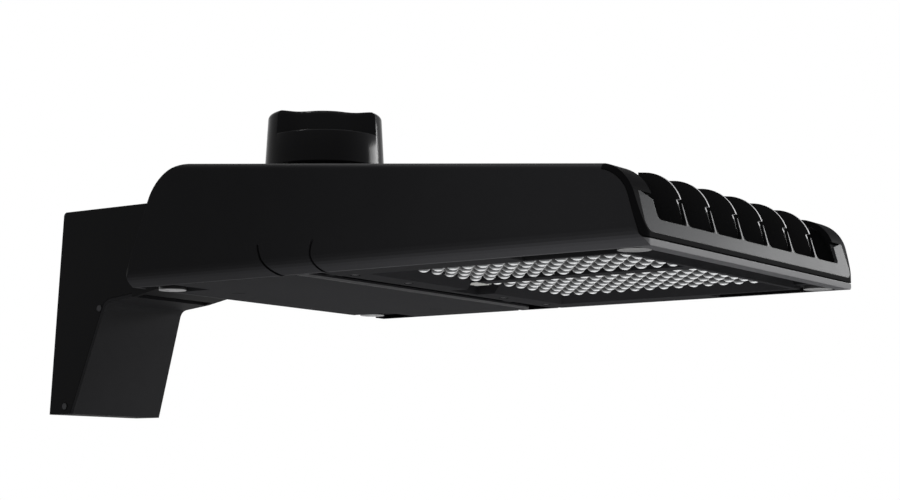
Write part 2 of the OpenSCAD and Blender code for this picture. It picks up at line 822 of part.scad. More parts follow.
module optic_gaskets() {
    color("#c9c9c4")
    for (side = [-1, 1])
        difference() {
            translate([led_x0 - led_pitch_x / 2 - 1.5, side * bank_y - board_w / 2, optic_z1])
                cube([board_l, board_w, board_z - optic_z1]);
            translate([led_x0 - led_pitch_x / 2 + 1, side * bank_y - board_w / 2 + 2.5, optic_z1 - 1])
                cube([board_l - 5, board_w - 5, 3]);
        }
}
module led_connector() {
    color("#e9e9e4")
    difference() {
        translate([engine_x0 + 10, 1, 5])
            cube([15, 20, 6.6]);
        for (y = [5, 11, 17])
            translate([engine_x0 + 7, y - 1.5, 6])
                cube([8, 3, 3]);
    }
}
// Round lead along straight runs through the points p.
module lead(p, d) {
    for (i = [0:len(p) - 2]) {
        v = p[i + 1] - p[i];
        translate(p[i])
            rotate([0, acos(v[2] / norm(v)), atan2(v[1], v[0])])
                cylinder(h = norm(v), d = d, $fn = 20);
        if (i > 0)
            translate(p[i])
                sphere(d = d + 0.4, $fn = 20);
    }
}
lead_end_y = driver_y + driver_w / 2 - 6;
module led_leads() {
    color("#b02a22")
    for (y = [-2.2, 2.2])
        lead([[engine_x0 + 15, y, board_z + 1.2], [engine_x0 + 12, y, 30],
              [bulkhead_x - 14 - y, y, 30], [bulkhead_x - 14 - y, lead_end_y - y, 30],
              [driver_x + driver_l, lead_end_y - y, 30]], 2.4);
}
module lead_grommet() {
    color("#1c1c1c")
    translate([bulkhead_x - wall - 1.5, 0, 30])
        rotate([0, 90, 0])
            difference() {
                union() {
                    cylinder(h = wall + 3, d = 13.6);
                    cylinder(h = 1.4, d = 18);
                    translate([0, 0, wall + 1.6])
                        cylinder(h = 1.4, d = 18);
                }
                translate([0, 0, -1])
                    cylinder(h = wall + 5, d = 8.4);
            }
}

// ---------- driver door ----------
module driver_door() {
    y1 = land_w - wall - door_gap;
    color("#26272a")
    difference() {
        union() {
            difference() {
                translate([0, 0, 0])
                    linear_extrude(height = door_t)
                        polygon(rounded([[door_x0, -y1], [door_x1, -y1], [door_x1, y1], [door_x0, y1]], [3, 2, 2, 3], 6));
                for (side = [-1, 1])
                    translate([door_x0 - 5, side > 0 ? notch_y : -notch_y - 60, -1])
                        cube([notch_l + 2, 60, 20]);
            }
            for (side = [-1, 1])
                translate([door_x0, side > 0 ? notch_y - 4 : 4 - notch_y - (y1 - notch_y + 4), shelf_z - 1.5])
                    cube([notch_l + 1, y1 - notch_y + 4, shelf_t + 0.5]);
            translate([door_x0 + 4, -notch_y + 8, 0])
                cube([2.4, 2 * notch_y - 16, 9]);
            for (side = [-1, 1])
                translate([door_x0 + notch_l - 2, side * (y1 - 5) - 1.2, 0])
                    cube([door_l - notch_l - 6, 2.4, 9]);
            for (y = [-60, -20, 20, 60])
                translate([door_x0 + 5, y - 1, 0])
                    cube([door_l - 9, 2, 6]);
            for (side = [-1, 1])
                difference() {
                    union() {
                        translate([door_x1 - 14, side * (lug_y + lug_w + 0.6 + ear_w / 2) - ear_w / 2, 0])
                            cube([hinge_x - door_x1 + 14, ear_w, hinge_z + hinge_r]);
                        translate([hinge_x, side * (lug_y + lug_w + 0.6 + ear_w / 2), hinge_z])
                            rotate([90, 0, 0])
                                cylinder(h = ear_w, r = hinge_r, center = true);
                    }
                    translate([door_x1, side * (lug_y + lug_w + 0.6 + ear_w / 2) - ear_w / 2 - 1, -1])
                        cube([20, ear_w + 2, hinge_z - 4]);
                }
        }
        for (side = [-1, 1]) {
            screw_hole(thumb_x, side * thumb_y, 0, 6.8, 12);
            translate([hinge_x, side * (lug_y + lug_w + 0.6 + ear_w / 2), hinge_z])
                rotate([90, 0, 0])
                    cylinder(h = ear_w + 2, d = hinge_pin_d + 2 * pin_play, center = true);
        }
        for (p = [[rear_x + 35, -75], [rear_x + 83.5, 99]])
            translate([p[0], p[1], -1])
                rotate([0, 0, 35])
                    translate([-4.5, -1, 0])
                        cube([9, 2, 2.2]);
    }
}
module hinge_pins() {
    color("#a9acae")
    for (side = [-1, 1])
        translate([hinge_x, side * (lug_y - 1.5), hinge_z])
            rotate([-side * 90, 0, 0]) {
                cylinder(h = lug_w + ear_w + 3, d = hinge_pin_d);
                translate([0, 0, -1.5])
                    cylinder(h = 2.7, d = hinge_pin_d + 3);
            }
}
module thumbscrew(side) {
    color("#c9ccce")
    translate([thumb_x, side * thumb_y, 0]) {
        difference() {
            cylinder(h = 2.6, d = thumb_d);
            translate([-thumb_d / 2 + 3, -0.8, -1])
                cube([thumb_d - 6, 1.6, 2]);
        }
        cylinder(h = 17, d = 6);
    }
}
module thumbscrew_near() { thumbscrew(-1); }
module thumbscrew_far() { thumbscrew(1); }
module thumbscrew_clips() {
    color("#6d6f71")
    for (side = [-1, 1])
        translate([thumb_x, side * thumb_y, shelf_z + shelf_t - 0.8])
            difference() {
                cylinder(h = 1, d = 11, $fn = 32);
                translate([0, 0, -1])
                    cylinder(h = 3, d = 6.05, $fn = 32);
            }
}

// ---------- parts in the driver bay ----------
// Box with a mounting ear at each end, its ears against the posts.
module eared_box(x, y, l, w, h) {
    difference() {
        union() {
            translate([x, y - w / 2, driver_z - h])
                cube([l, w, h]);
            translate([x - ear_l, y - 9, driver_z - ear_t])
                cube([l + 2 * ear_l, 18, ear_t]);
        }
        for (px = [x - ear_l / 2, x + l + ear_l / 2])
            screw_hole(px, y, driver_z - ear_t - 1, 3.8, ear_t + 2);
    }
}
module led_driver() {
    color("#e4e4e0")
    eared_box(driver_x, driver_y, driver_l, driver_w, driver_h);
}
module driver_screws() {
    color("#a9acae")
    for (p = part_posts())
        translate([p[0], p[1], driver_z - ear_t]) {
            translate([0, 0, -2])
                cylinder(h = 2, d = 6.4, $fn = 24);
            cylinder(h = ear_t + 6, d = 3.2, $fn = 24);
        }
}
module surge_protector() {
    color("#2a5f3c")
    eared_box(surge_x, surge_y, surge_l, surge_w, surge_h);
}
module terminal_block() {
    color("#e0dccb")
    difference() {
        eared_box(block_x, block_y, block_l, block_w, block_h);
        for (i = [0:2], side = [-1, 1]) {
            screw_hole(block_x + 9 + 12 * i, block_y + side * 6, driver_z - block_h, 5, 6);
            translate([block_x + 9 + 12 * i, block_y + side * (block_w / 2 + 1), driver_z - block_h + 11])
                rotate([90, 0, 0])
                    cylinder(h = 8, d = 4.4, center = true, $fn = 24);
        }
    }
}
module terminal_screws() {
    color("#c2a24a")
    for (i = [0:2], side = [-1, 1])
        difference() {
            screw_hole(block_x + 9 + 12 * i, block_y + side * 6, driver_z - block_h + 2, 4.7, 4);
            translate([block_x + 9 + 12 * i - 3, block_y + side * 6 - 0.4, driver_z - block_h + 1])
                cube([6, 0.8, 2]);
        }
}
module ground_screw() {
    color("#3a8f4a")
    translate([bulkhead_x - wall, 60, 34])
        rotate([0, -90, 0]) {
            cylinder(h = 3, d = 8, $fn = 6);
            cylinder(h = 1, d = 10, $fn = 32);
        }
}
module control_leads() {
    z = driver_z - block_h + 11;
    side_y = block_y - block_w / 2;
    color("#222426")
    for (j = [0:2])
        lead([[cap_x - 6 + 4 * j, 10, rec_z - body_drum_h], [cap_x - 6 + 4 * j, 10, z],
              [cap_x - 6 + 4 * j, side_y - 5 - 3.2 * j, z],
              [block_x + 9 + 12 * j, side_y - 5 - 3.2 * j, z],
              [block_x + 9 + 12 * j, side_y + 2, z]], 2.4);
}

// ---------- photocontrol receptacle and shorting cap ----------
receptacle_screw_angles = [60, 180, 300];
receptacle_screw_r = 36;
blade_r = 17;
blade_angles = [90, 210, 330];
twist = 35;
module receptacle() {
    color("#3a3b3d")
    translate([cap_x, 0, rec_z])
        difference() {
            rotate_extrude()
                polygon([[0, -body_drum_h], [body_drum_d / 2, -body_drum_h], [body_drum_d / 2, 0],
                         [boss_d / 2 - 1, 0], [boss_d / 2 - 1, flange_t], [drum_d / 2, flange_t],
                         [drum_d / 2, flange_t + drum_h], [0, flange_t + drum_h]]);
            for (a = blade_angles)
                rotate([0, 0, a - 12])
                    translate([0, 0, -12])
                        rotate_extrude(angle = twist + 24)
                            translate([blade_r - 2, 0])
                                square([4, 40]);
            for (a = receptacle_screw_angles)
                rotate([0, 0, a])
                    translate([receptacle_screw_r, 0, -1])
                        cylinder(h = flange_t + 2, d = 3.4, $fn = 24);
        }
}
module receptacle_gasket() {
    color("#2a2a2a")
    translate([cap_x, 0, boss_z])
        difference() {
            cylinder(h = gasket_t, d = boss_d - 2);
            translate([0, 0, -1])
                cylinder(h = gasket_t + 2, d = body_drum_d + 1);
            for (a = receptacle_screw_angles)
                rotate([0, 0, a])
                    translate([receptacle_screw_r, 0, -1])
                        cylinder(h = gasket_t + 2, d = 3.6, $fn = 24);
        }
}
module receptacle_screws() {
    color("#9fa2a5")
    translate([cap_x, 0, rec_z + flange_t])
        for (a = receptacle_screw_angles)
            rotate([0, 0, a])
                translate([receptacle_screw_r, 0, -11]) {
                    cylinder(h = 11 + eps, d = 2.8, $fn = 24);
                    translate([0, 0, 11])
                        cylinder(h = 2, d = 5.6, $fn = 24);
                }
}
module receptacle_contacts() {
    color("#b98d3e")
    translate([cap_x, 0, rec_z - 12])
        for (a = blade_angles)
            rotate([0, 0, a])
                rotate_extrude(angle = twist)
                    translate([blade_r + 1.2, 0])
                        square([0.7, 14]);
}
skirt_h = cap_h - 22;
base_z = drum_z + 2.3;
module shorting_cap() {
    r = cap_d / 2;
    lobe = [-33.3, 86.7, 206.7];
    color("#0c0c0d")
    translate([cap_x, 0, cap_z])
        difference() {
            rotate_extrude($fn = 96)
                polygon(concat([[r - cap_wall, 0], [r, 0], [r - 1.4, skirt_h], [r - 0.6, skirt_h + 1.5]],
                               corner_arc([r - 0.6, 0], [r - 1.4, cap_h], [0, cap_h], 4, 6),
                               [[0, cap_h], [0, cap_h - cap_wall], [r - 9, cap_h - cap_wall],
                                [r - 7.5, skirt_h - 3], [r - cap_wall - 1, base_z - cap_z + 3],
                                [r - cap_wall - 1, base_z - cap_z - 1]]));
            for (a = lobe)
                rotate([0, 0, a + 60])
                    translate([100.8, 0, skirt_h + 1.6])
                        cylinder(h = 15.5, r = 61.4, $fn = 160);
        }
}
module cap_base() {
    color("#1a1a1b")
    translate([cap_x, 0, base_z])
        difference() {
            cylinder(h = 3, r = cap_d / 2 - cap_wall - 1.1);
            for (a = blade_angles)
                rotate([0, 0, a])
                    translate([blade_r - 0.8, -3, -1])
                        cube([1.6, 6, 5]);
        }
}
module cap_blades() {
    color("#c39a4a")
    translate([cap_x, 0, drum_z + 6])
        for (a = blade_angles)
            rotate([0, 0, a]) {
                translate([blade_r - 0.7, -2.9, -24])
                    cube([1.4, 5.8, 24]);
                translate([blade_r - 6, -2.9, -0.7])
                    cube([6, 5.8, 0.7]);
            }
}
module cap_seal() {
    color("#3b3b3b")
    translate([cap_x, 0, drum_z + 0.3])
        difference() {
            cylinder(h = 2, d = drum_d - 2);
            translate([0, 0, -1])
                cylinder(h = 4, d = drum_d - 14);
        }
}

pole_arm();
arm_cover();
arm_cover_screws();
arm_gasket();
arm_bolts();
housing();
nose_frame();
nose_frame_screws();
nose_plate();
heat_sink();
heat_sink_screws();
engine_bezel();
bezel_screws();
corner_screws();
led_board_near();
led_board_far();
optic_near();
optic_far();
optic_gaskets();
led_connector();
led_leads();
lead_grommet();
driver_door();
hinge_pins();
thumbscrew_near();
thumbscrew_far();
thumbscrew_clips();
led_driver();
driver_screws();
surge_protector();
terminal_block();
terminal_screws();
ground_screw();
control_leads();
receptacle();
receptacle_gasket();
receptacle_screws();
receptacle_contacts();
shorting_cap();
cap_base();
cap_blades();
cap_seal();
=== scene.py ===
"""Looks of a shoebox area light on a short pole arm.

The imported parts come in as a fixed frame. Each sub-assembly below dresses its own
parts, adds the small pieces that only show, and hangs them on the body they move
with. Lengths are in metres, in the frame of the parts.
"""
import logging
import math
from dataclasses import dataclass
from enum import Enum

import bmesh
import bpy
from mathutils import Matrix, Vector


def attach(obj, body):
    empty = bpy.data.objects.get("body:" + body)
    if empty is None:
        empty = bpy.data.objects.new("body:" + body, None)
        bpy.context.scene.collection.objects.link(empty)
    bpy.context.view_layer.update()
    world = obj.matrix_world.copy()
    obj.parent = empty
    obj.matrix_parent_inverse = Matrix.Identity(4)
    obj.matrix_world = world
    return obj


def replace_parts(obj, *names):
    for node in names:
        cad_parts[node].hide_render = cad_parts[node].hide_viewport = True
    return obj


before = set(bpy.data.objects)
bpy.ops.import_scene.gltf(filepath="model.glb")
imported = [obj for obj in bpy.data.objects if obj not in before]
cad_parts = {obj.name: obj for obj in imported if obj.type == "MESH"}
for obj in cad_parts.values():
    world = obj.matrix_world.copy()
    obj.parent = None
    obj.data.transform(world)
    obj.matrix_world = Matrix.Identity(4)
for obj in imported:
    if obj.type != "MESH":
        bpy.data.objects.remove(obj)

MM = 0.001
RGB = tuple[float, float, float]
SHARP_DEGREES = 38.0  # faces that meet at more than this keep a sharp edge between them
WELD = 0.00002  # vertices nearer to each other than this become one
ROUND_SAMPLES = 4  # samples of the round that the edges get
EDGE_WEAR_AND_HIGHLIGHT_SAMPLES = 6  # samples of the round that finds the edges painted paler for wear and a painted highlight
EDGE_WEAR_AND_HIGHLIGHT_COSINES = (0.98, 0.84)  # between true and rounded normal, from no wear and painted highlight to full
log = logging.getLogger("area_light")


class Body(Enum):
    """The bodies of the light that new pieces hang on."""

    FIXTURE = "fixture"
    CAP = "cap"


class Grain(Enum):
    """How the fine relief of a metal finish lies."""

    EVEN = (1.0, 1.0, 1.0)
    TURNED = (1.0, 1.0, 0.04)


# ---------- shader maths ----------


class Signal:
    """A node's output, on which shader maths is written with plain operators."""

    def __init__(self, graph: "Graph", socket: bpy.types.NodeSocket) -> None:
        """Wraps a socket.

        Args:
            graph: The graph that the socket belongs to.
            socket: The output socket.
        """
        self.graph = graph
        self.socket = socket

    def _maths(self, operation: str, *values: "Value") -> "Signal":
        """Adds one Math node.

        Args:
            operation: The node's operation.
            values: Its inputs in order.

        Returns:
            The node's result.
        """
        return self.graph.node("ShaderNodeMath", {"operation": operation}, dict(enumerate(values)))

    def __add__(self, other: "Value") -> "Signal":
        """Sum of the two."""
        return self._maths("ADD", self, other)

    __radd__ = __add__

    def __sub__(self, other: "Value") -> "Signal":
        """This less the other."""
        return self._maths("SUBTRACT", self, other)

    def __rsub__(self, other: "Value") -> "Signal":
        """The other less this."""
        return self._maths("SUBTRACT", other, self)

    def __mul__(self, other: "Value") -> "Signal":
        """Product of the two."""
        return self._maths("MULTIPLY", self, other)

    __rmul__ = __mul__

    def __pow__(self, other: "Value") -> "Signal":
        """This to the power of the other."""
        return self._maths("POWER", self, other)

    def __rpow__(self, other: "Value") -> "Signal":
        """The other to the power of this."""
        return self._maths("POWER", other, self)

    def __gt__(self, other: "Value") -> "Signal":
        """One where this is the greater."""
        return self._maths("GREATER_THAN", self, other)

    def __lt__(self, other: "Value") -> "Signal":
        """One where this is the smaller."""
        return self._maths("LESS_THAN", self, other)

    def __abs__(self) -> "Signal":
        """Distance from zero."""
        return self._maths("ABSOLUTE", self)

    def off_step(self, first: float, pitch: float) -> "Signal":
        """How far this is from the nearest of steps a pitch apart, one of them at first."""
        return self._maths("WRAP", self - first, pitch / 2, -pitch / 2)

    def swing(self, amount: float) -> "Signal":
        """This, from 0 to 1, as a swing of that amount about 0."""
        return (self - 0.5) * amount

    def ramp(self, low: float, high: float) -> "Signal":
        """Smooth rise from 0 at low to 1 at high, which may be the smaller."""
        settings = {"interpolation_type": "SMOOTHSTEP"}
        return self.graph.node("ShaderNodeMapRange", settings, {0: self, 1: low, 2: high})


Value = Signal | float | RGB | tuple[float, ...]
Settings = dict[str, object]
Inputs = dict[str | int, Value]
Sockets = dict[str, Value]


class Graph:
    """The node tree of one material or world."""

    def __init__(self, tree: bpy.types.NodeTree) -> None:
        """Empties the tree.

        Args:
            tree: The tree to fill.
        """
        self.tree = tree
        tree.nodes.clear()

    def feed(self, socket: bpy.types.NodeSocket, value: Value) -> None:
        """Links a signal to a socket, or sets the socket to a plain value.

        Args:
            socket: The input socket.
            value: The signal or value.
        """
        if isinstance(value, Signal):
            self.tree.links.new(value.socket, socket)
        elif socket.type == "RGBA" and len(value) == 3:
            socket.default_value = (*value, 1.0)
        else:
            socket.default_value = value

    def add(self, kind: str, settings: Settings | None = None,
            inputs: Inputs | None = None) -> bpy.types.Node:
        """Adds a node of any kind.

        Args:
            kind: The node's type.
            settings: Its settings, such as its operation, set first.
            inputs: Values or signals of its sockets, by name or place.

        Returns:
            The node.
        """
        made = self.tree.nodes.new(kind)
        for key, value in (settings or {}).items():
            setattr(made, key, value)
        for key, value in (inputs or {}).items():
            self.feed(made.inputs[key], value)
        return made

    def node(self, kind: str, settings: Settings | None = None,
             inputs: Inputs | None = None, output: str | int = 0) -> Signal:
        """Adds a node of any kind, as add does, and hands back one of its outputs."""
        return Signal(self, self.add(kind, settings, inputs).outputs[output])

    def place(self) -> Signal:
        """Place on the piece, in metres, that moves with the piece."""
        return self.node("ShaderNodeTexCoord", output="Object")

    def facing(self) -> tuple[Signal, Signal, Signal]:
        """X, Y and Z of the way a face of the piece faces."""
        return self.axes(self.node("ShaderNodeTexCoord", output="Normal"))

    def worn_and_lit_edges(self, radius: float) -> Signal:
        """Where the edges and corners are, which paint shows paler as wear and as a painted
        highlight.

        Args:
            radius: How far the wear and the painted highlight reach from an edge.

        Returns:
            One along edges and corners, falling to 0 about that far away from them.
        """
        true = self.node("ShaderNodeNewGeometry", output="Normal")
        rounded = self.node("ShaderNodeBevel", {"samples": EDGE_WEAR_AND_HIGHLIGHT_SAMPLES}, {"Radius": radius})
        alike = self.node("ShaderNodeVectorMath", {"operation": "DOT_PRODUCT"},
                          {0: true, 1: rounded}, "Value")
        return alike.ramp(*EDGE_WEAR_AND_HIGHLIGHT_COSINES)

    def axes(self, place: Signal) -> tuple[Signal, Signal, Signal]:
        """The X, Y and Z of a place."""
        made = self.add("ShaderNodeSeparateXYZ", {}, {0: place})
        return tuple(Signal(self, made.outputs[i]) for i in range(3))

    def scaled(self, one: Signal, by: Value) -> Signal:
        """A place or colour with each of its three parts scaled."""
        return self.node("ShaderNodeVectorMath", {"operation": "MULTIPLY"}, {0: one, 1: by})

    def noise(self, place: Signal, size: float, detail: float = 3.0, rough: float = 0.55) -> Signal:
        """Cloudy noise.

        Args:
            place: Where it is read.
            size: Size of its largest blots in metres.
            detail: How many finer layers it has.
            rough: Strength of the finer layers.

        Returns:
            The noise, about 0 to 1.
        """
        return self.node("ShaderNodeTexNoise", {"noise_dimensions": "3D"},
                         {"Vector": place, "Scale": 1.0 / size, "Detail": detail,
                          "Roughness": rough})

    def cells(self, place: Signal, size: float) -> Signal:
        """Distance to the nearest of scattered points about size metres apart."""
        return self.node("ShaderNodeTexVoronoi", {}, {"Vector": place, "Scale": 1.0 / size})

    def mix(self, factor: Value, low: Value, high: Value) -> Signal:
        """Colour between two colours."""
        return self.node("ShaderNodeMix", {"data_type": "RGBA"}, {0: factor, 6: low, 7: high}, 2)

    def relief(self, height: Signal, depth: float, strength: float, edge: float = 0.0) -> Signal:
        """Fine relief on a surface.

        Args:
            height: Height, 0 to 1.
            depth: Depth in metres that a height of 1 stands for.
            strength: How much of it is felt.
            edge: Radius of the round that worn edges get, or 0 for none.

        Returns:
            The bent normal.
        """
        inputs = {"Strength": strength, "Distance": depth, "Height": height}
        if edge:
            inputs["Normal"] = self.node("ShaderNodeBevel", {"samples": ROUND_SAMPLES},
                                         {"Radius": edge})
        return self.node("ShaderNodeBump", {}, inputs)

    def end(self, kind: str, shader: Signal) -> None:
        """Ends the tree in an output node of that kind."""
        self.add(kind, {}, {"Surface": shader})


# ---------- finishes ----------

CLOUD_SIZE = 0.09  # of the clouds in a coat of paint
SPECK_PITCH = 0.004  # between the specks in it
STAIN_SIZE = 0.02  # of the stains on bare metal
FLOW_SIZE = 0.03  # of the flow marks in a moulding
BLOOM_SIZE = 0.012  # of the bloom on rubber
LOOKS_DOWN = (-0.25, -0.8)  # Z of the way a face faces, from level to plainly down
LOOKS_AHEAD = (0.25, 0.7)  # X of the way a face faces, from aside to plainly ahead


def toned(colour: RGB, by: float, lift: float = 0.0) -> RGB:
    """A colour made darker or paler by a factor and lifted a little, up to white."""
    return tuple(min(1.0, by * part + lift) for part in colour)


@dataclass(frozen=True)
class Finish:
    """A surface finish that can make its own material."""

    name: str

    def sockets(self, graph: Graph) -> Sockets:
        """Values and signals of the surface; each kind of finish gives its own."""
        raise NotImplementedError

    def material(self) -> bpy.types.Material:
        """Makes the finish's material, once.

        Returns:
            The material.
        """
        known = bpy.data.materials.get(self.name)
        if known:
            return known
        made = bpy.data.materials.new(self.name)
        made.use_nodes = True
        graph = Graph(made.node_tree)
        graph.end("ShaderNodeOutputMaterial",
                  graph.node("ShaderNodeBsdfPrincipled", {}, self.sockets(graph)))
        return made


@dataclass(frozen=True)
class PowderCoat(Finish):
    """Baked powder paint on a casting.

    Attributes:
        colour: Colour of the paint.
        rough: Middle roughness.
        gleam: Specular level.
        peel: Size of the orange peel in metres.
        depth: Depth of the orange peel.
        edge: Radius of the paint's round on edges.
        under_light: How many times paler the faces that look down are painted, as painted light from
            below.
        wear_and_highlight: How pale the edges are painted, as rub wear and a painted highlight, or 0
            for none.
    """

    colour: RGB = (0.008, 0.008, 0.009)
    rough: float = 0.4
    gleam: float = 0.03
    peel: float = 0.0016
    depth: float = 0.00006
    edge: float = 0.0007
    under_light: float = 1.0
    wear_and_highlight: float = 0.0

    def ground(self, graph: Graph, colour: Signal) -> Signal:
        """The colour as it lies on this piece; a kind of paint may change it by place."""
        return colour

    def sockets(self, graph: Graph) -> Sockets:
        """Dark cloudy colour, uneven sheen, orange peel, specks, painted light from below on faces
        that look down, and edges painted paler for wear and a painted highlight.

        Args:
            graph: Where to build.

        Returns:
            Its values and signals.
        """
        place = graph.place()
        cloud = graph.noise(place, CLOUD_SIZE, 4.0)
        peel = graph.noise(place, self.peel, 2.0, 0.4)
        speck = graph.cells(place, SPECK_PITCH).ramp(0.10, 0.02)
        down = graph.facing()[2].ramp(*LOOKS_DOWN)
        clouded = graph.mix(cloud, toned(self.colour, 0.85), toned(self.colour, 1.18, 0.0004))
        colour = graph.mix(speck * 0.35, clouded, toned(self.colour, 2.0, 0.002))
        # Painted light: faces that look down are made paler, standing in for light from below.
        if self.under_light != 1.0:
            colour = graph.mix(down, colour, toned(self.colour, self.under_light))
        # Edges painted paler: partly rub wear, partly a painted highlight.
        if self.wear_and_highlight:
            colour = graph.mix(graph.worn_and_lit_edges(self.edge), colour, (self.wear_and_highlight,) * 3)
        return {"Base Color": self.ground(graph, colour),
                "Roughness": self.rough + down * 0.2 + cloud.swing(0.10) + peel.swing(0.05),
                "Specular IOR Level": self.gleam,
                "Normal": graph.relief(peel, self.depth, 0.5, self.edge)}


@dataclass(frozen=True)
class CastingPaint(PowderCoat):
    """Paint of the big casting, painted greyer toward the nose as painted light, with a painted
    highlight on the front lip.

    Attributes:
        nose: How many times paler the paint is at the nose, as painted light.
        fade_x: Where it starts to turn paler and where it has, from the pole.
        lip: Colour of the painted highlight on the lip.
        lip_x: Where the lip begins, from the pole.
        lip_z: Height of the lip's top.
        pocket_shade: Colour of the painted shade in the pocket before the lamps.
        slot_x: Where that pocket begins and ends, from the pole.
        slot_y: How far it reaches to each side.
        slot_z: Heights between which it lies.
    """

    nose: float = 2.3
    fade_x: tuple[float, float] = (0.22, 0.60)
    lip: RGB = (0.11, 0.11, 0.114)
    lip_x: float = 0.568
    lip_z: float = 0.0042
    pocket_shade: RGB = (0.0012, 0.0012, 0.0013)
    slot_x: tuple[float, float] = (0.3212, 0.3412)
    slot_y: float = 0.140
    slot_z: tuple[float, float] = (0.004, 0.05)

    def ground(self, graph: Graph, colour: Signal) -> Signal:
        """Painted light greyer toward the nose, a painted highlight on the lip, painted shade black
        in the pocket behind the door.

        Args:
            graph: Where to build.
            colour: The paint's own colour.

        Returns:
            The colour on this piece.
        """
        x, y, z = graph.axes(graph.place())
        ahead = graph.facing()[0].ramp(*LOOKS_AHEAD)
        # Painted light: the paint turns paler toward the nose, standing in for stronger light there.
        nose_light_ramp = graph.mix(x.ramp(*self.fade_x), (1.0, 1.0, 1.0), (self.nose,) * 3)
        lit_toward_nose = graph.scaled(colour, nose_light_ramp)
        # Painted highlight on the front faces of the lip.
        lip_highlit = (x > self.lip_x) * (z < self.lip_z) * ahead
        # Painted shade: the pocket behind the door is painted black.
        pocket = ((x > self.slot_x[0]) * (x < self.slot_x[1]) * (z > self.slot_z[0])
                  * (z < self.slot_z[1]) * (abs(y) < self.slot_y))
        return graph.mix(pocket, graph.mix(lip_highlit, lit_toward_nose, self.lip), self.pocket_shade)


@dataclass(frozen=True)
class DoorPaint(PowderCoat):
    """Paint of the door, with a painted highlight on its front edge and paler on the hinge ears.

    Attributes:
        front: Colour of the painted highlight on the front edge.
        front_x: Where the door's front edge begins.
        front_z: Height up to which the highlight is painted.
        ear: Colour of the hinge ears.
        ear_x: Where the hinge ears begin.
    """

    front: RGB = (0.12, 0.12, 0.123)
    front_x: float = 0.3200
    front_z: float = 0.0016
    ear: RGB = (0.035, 0.035, 0.037)
    ear_x: float = 0.3235

    def ground(self, graph: Graph, colour: Signal) -> Signal:
        """Painted highlight on the front edge, grey on the hinge ears.

        Args:
            graph: Where to build.
            colour: The paint's own colour.

        Returns:
            The colour on this piece.
        """
        x, _, z = graph.axes(graph.place())
        # Painted highlight along the door's front edge.
        front = (x > self.front_x) * (x < self.ear_x) * (z < self.front_z)
        return graph.mix(x > self.ear_x, graph.mix(front, colour, self.front), self.ear)


@dataclass(frozen=True)
class Metal(Finish):
    """Bare, plated or anodised metal.

    Attributes:
        colour: Colour of the metal.
        rough: Middle roughness.
        grain: How the marks of its making lie.
        pitch: Distance between those marks in metres.
        stain: How much darker its stains are.
        rim_z: Height above which its sides get painted shade, for a screw that shows its face.
        rim_shade: How many times darker the painted shade makes them there.
    """

    colour: RGB = (0.6, 0.6, 0.61)
    rough: float = 0.35
    grain: Grain = Grain.EVEN
    pitch: float = 0.0007
    stain: float = 0.3
    rim_z: float | None = None
    rim_shade: float = 0.12

    def sockets(self, graph: Graph) -> Sockets:
        """Marks of the tool, cloudy stain and small scratches.

        Args:
            graph: Where to build.

        Returns:
            Its values and signals.
        """
        place = graph.place()
        marks = graph.noise(graph.scaled(place, self.grain.value), self.pitch, 3.0, 0.6)
        cloud = graph.noise(place, STAIN_SIZE, 4.0)
        colour = graph.mix(cloud.ramp(0.35, 0.75), self.colour, toned(self.colour, 1.0 - self.stain))
        # Painted shade on the sides of a screw that sits in a pocket.
        if self.rim_z is not None:
            colour = graph.mix(graph.axes(place)[2] > self.rim_z, colour,
                               toned(self.colour, self.rim_shade))
        return {"Base Color": colour,
                "Metallic": 1.0,
                "Roughness": self.rough + marks.swing(0.22) + cloud.swing(0.12),
                "Normal": graph.relief(marks, 0.00004, 0.35, 0.0003)}


@dataclass(frozen=True)
class Plastic(Finish):
    """Moulded plastic.

    Attributes:
        colour: Colour of the plastic.
        rough: Middle roughness.
        gleam: Specular level.
        spark: Size of the mould's spark texture in metres.
        depth: Depth of that texture.
        edge: Radius of its rounded edges.
    """

    colour: RGB = (0.02, 0.02, 0.02)
    rough: float = 0.45
    gleam: float = 0.3
    spark: float = 0.0006
    depth: float = 0.00003
    edge: float = 0.0003

    def sockets(self, graph: Graph) -> Sockets:
        """Flow marks in the colour and the mould's fine spark texture.

        Args:
            graph: Where to build.

        Returns:
            Its values and signals.
        """
        place = graph.place()
        flow = graph.noise(graph.scaled(place, (1.0, 1.0, 0.4)), FLOW_SIZE, 3.0)
        spark = graph.noise(place, self.spark, 2.0, 0.5)
        return {"Base Color": graph.mix(flow, toned(self.colour, 0.82),
                                        toned(self.colour, 1.12, 0.0004)),
                "Roughness": self.rough + flow.swing(0.08) + spark.swing(0.06),
                "Specular IOR Level": self.gleam,
                "Normal": graph.relief(spark, self.depth, 0.4, self.edge)}


@dataclass(frozen=True)
class Rubber(Finish):
    """Moulded rubber or silicone, with a bloom of dust.

    Attributes:
        colour: Colour of the rubber.
        rough: Middle roughness.
    """

    colour: RGB = (0.02, 0.02, 0.021)
    rough: float = 0.7

    def sockets(self, graph: Graph) -> Sockets:
        """Pale bloom in patches over a matt ground.

        Args:
            graph: Where to build.

        Returns:
            Its values and signals.
        """
        place = graph.place()
        bloom = graph.noise(place, BLOOM_SIZE, 5.0, 0.7)
        skin = graph.noise(place, 0.0005, 2.0)
        return {"Base Color": graph.mix(bloom.ramp(0.35, 0.8), self.colour,
                                        toned(self.colour, 1.5, 0.006)),
                "Roughness": self.rough + bloom.swing(0.15),
                "Specular IOR Level": 0.2,
                "Normal": graph.relief(skin, 0.00005, 0.4)}


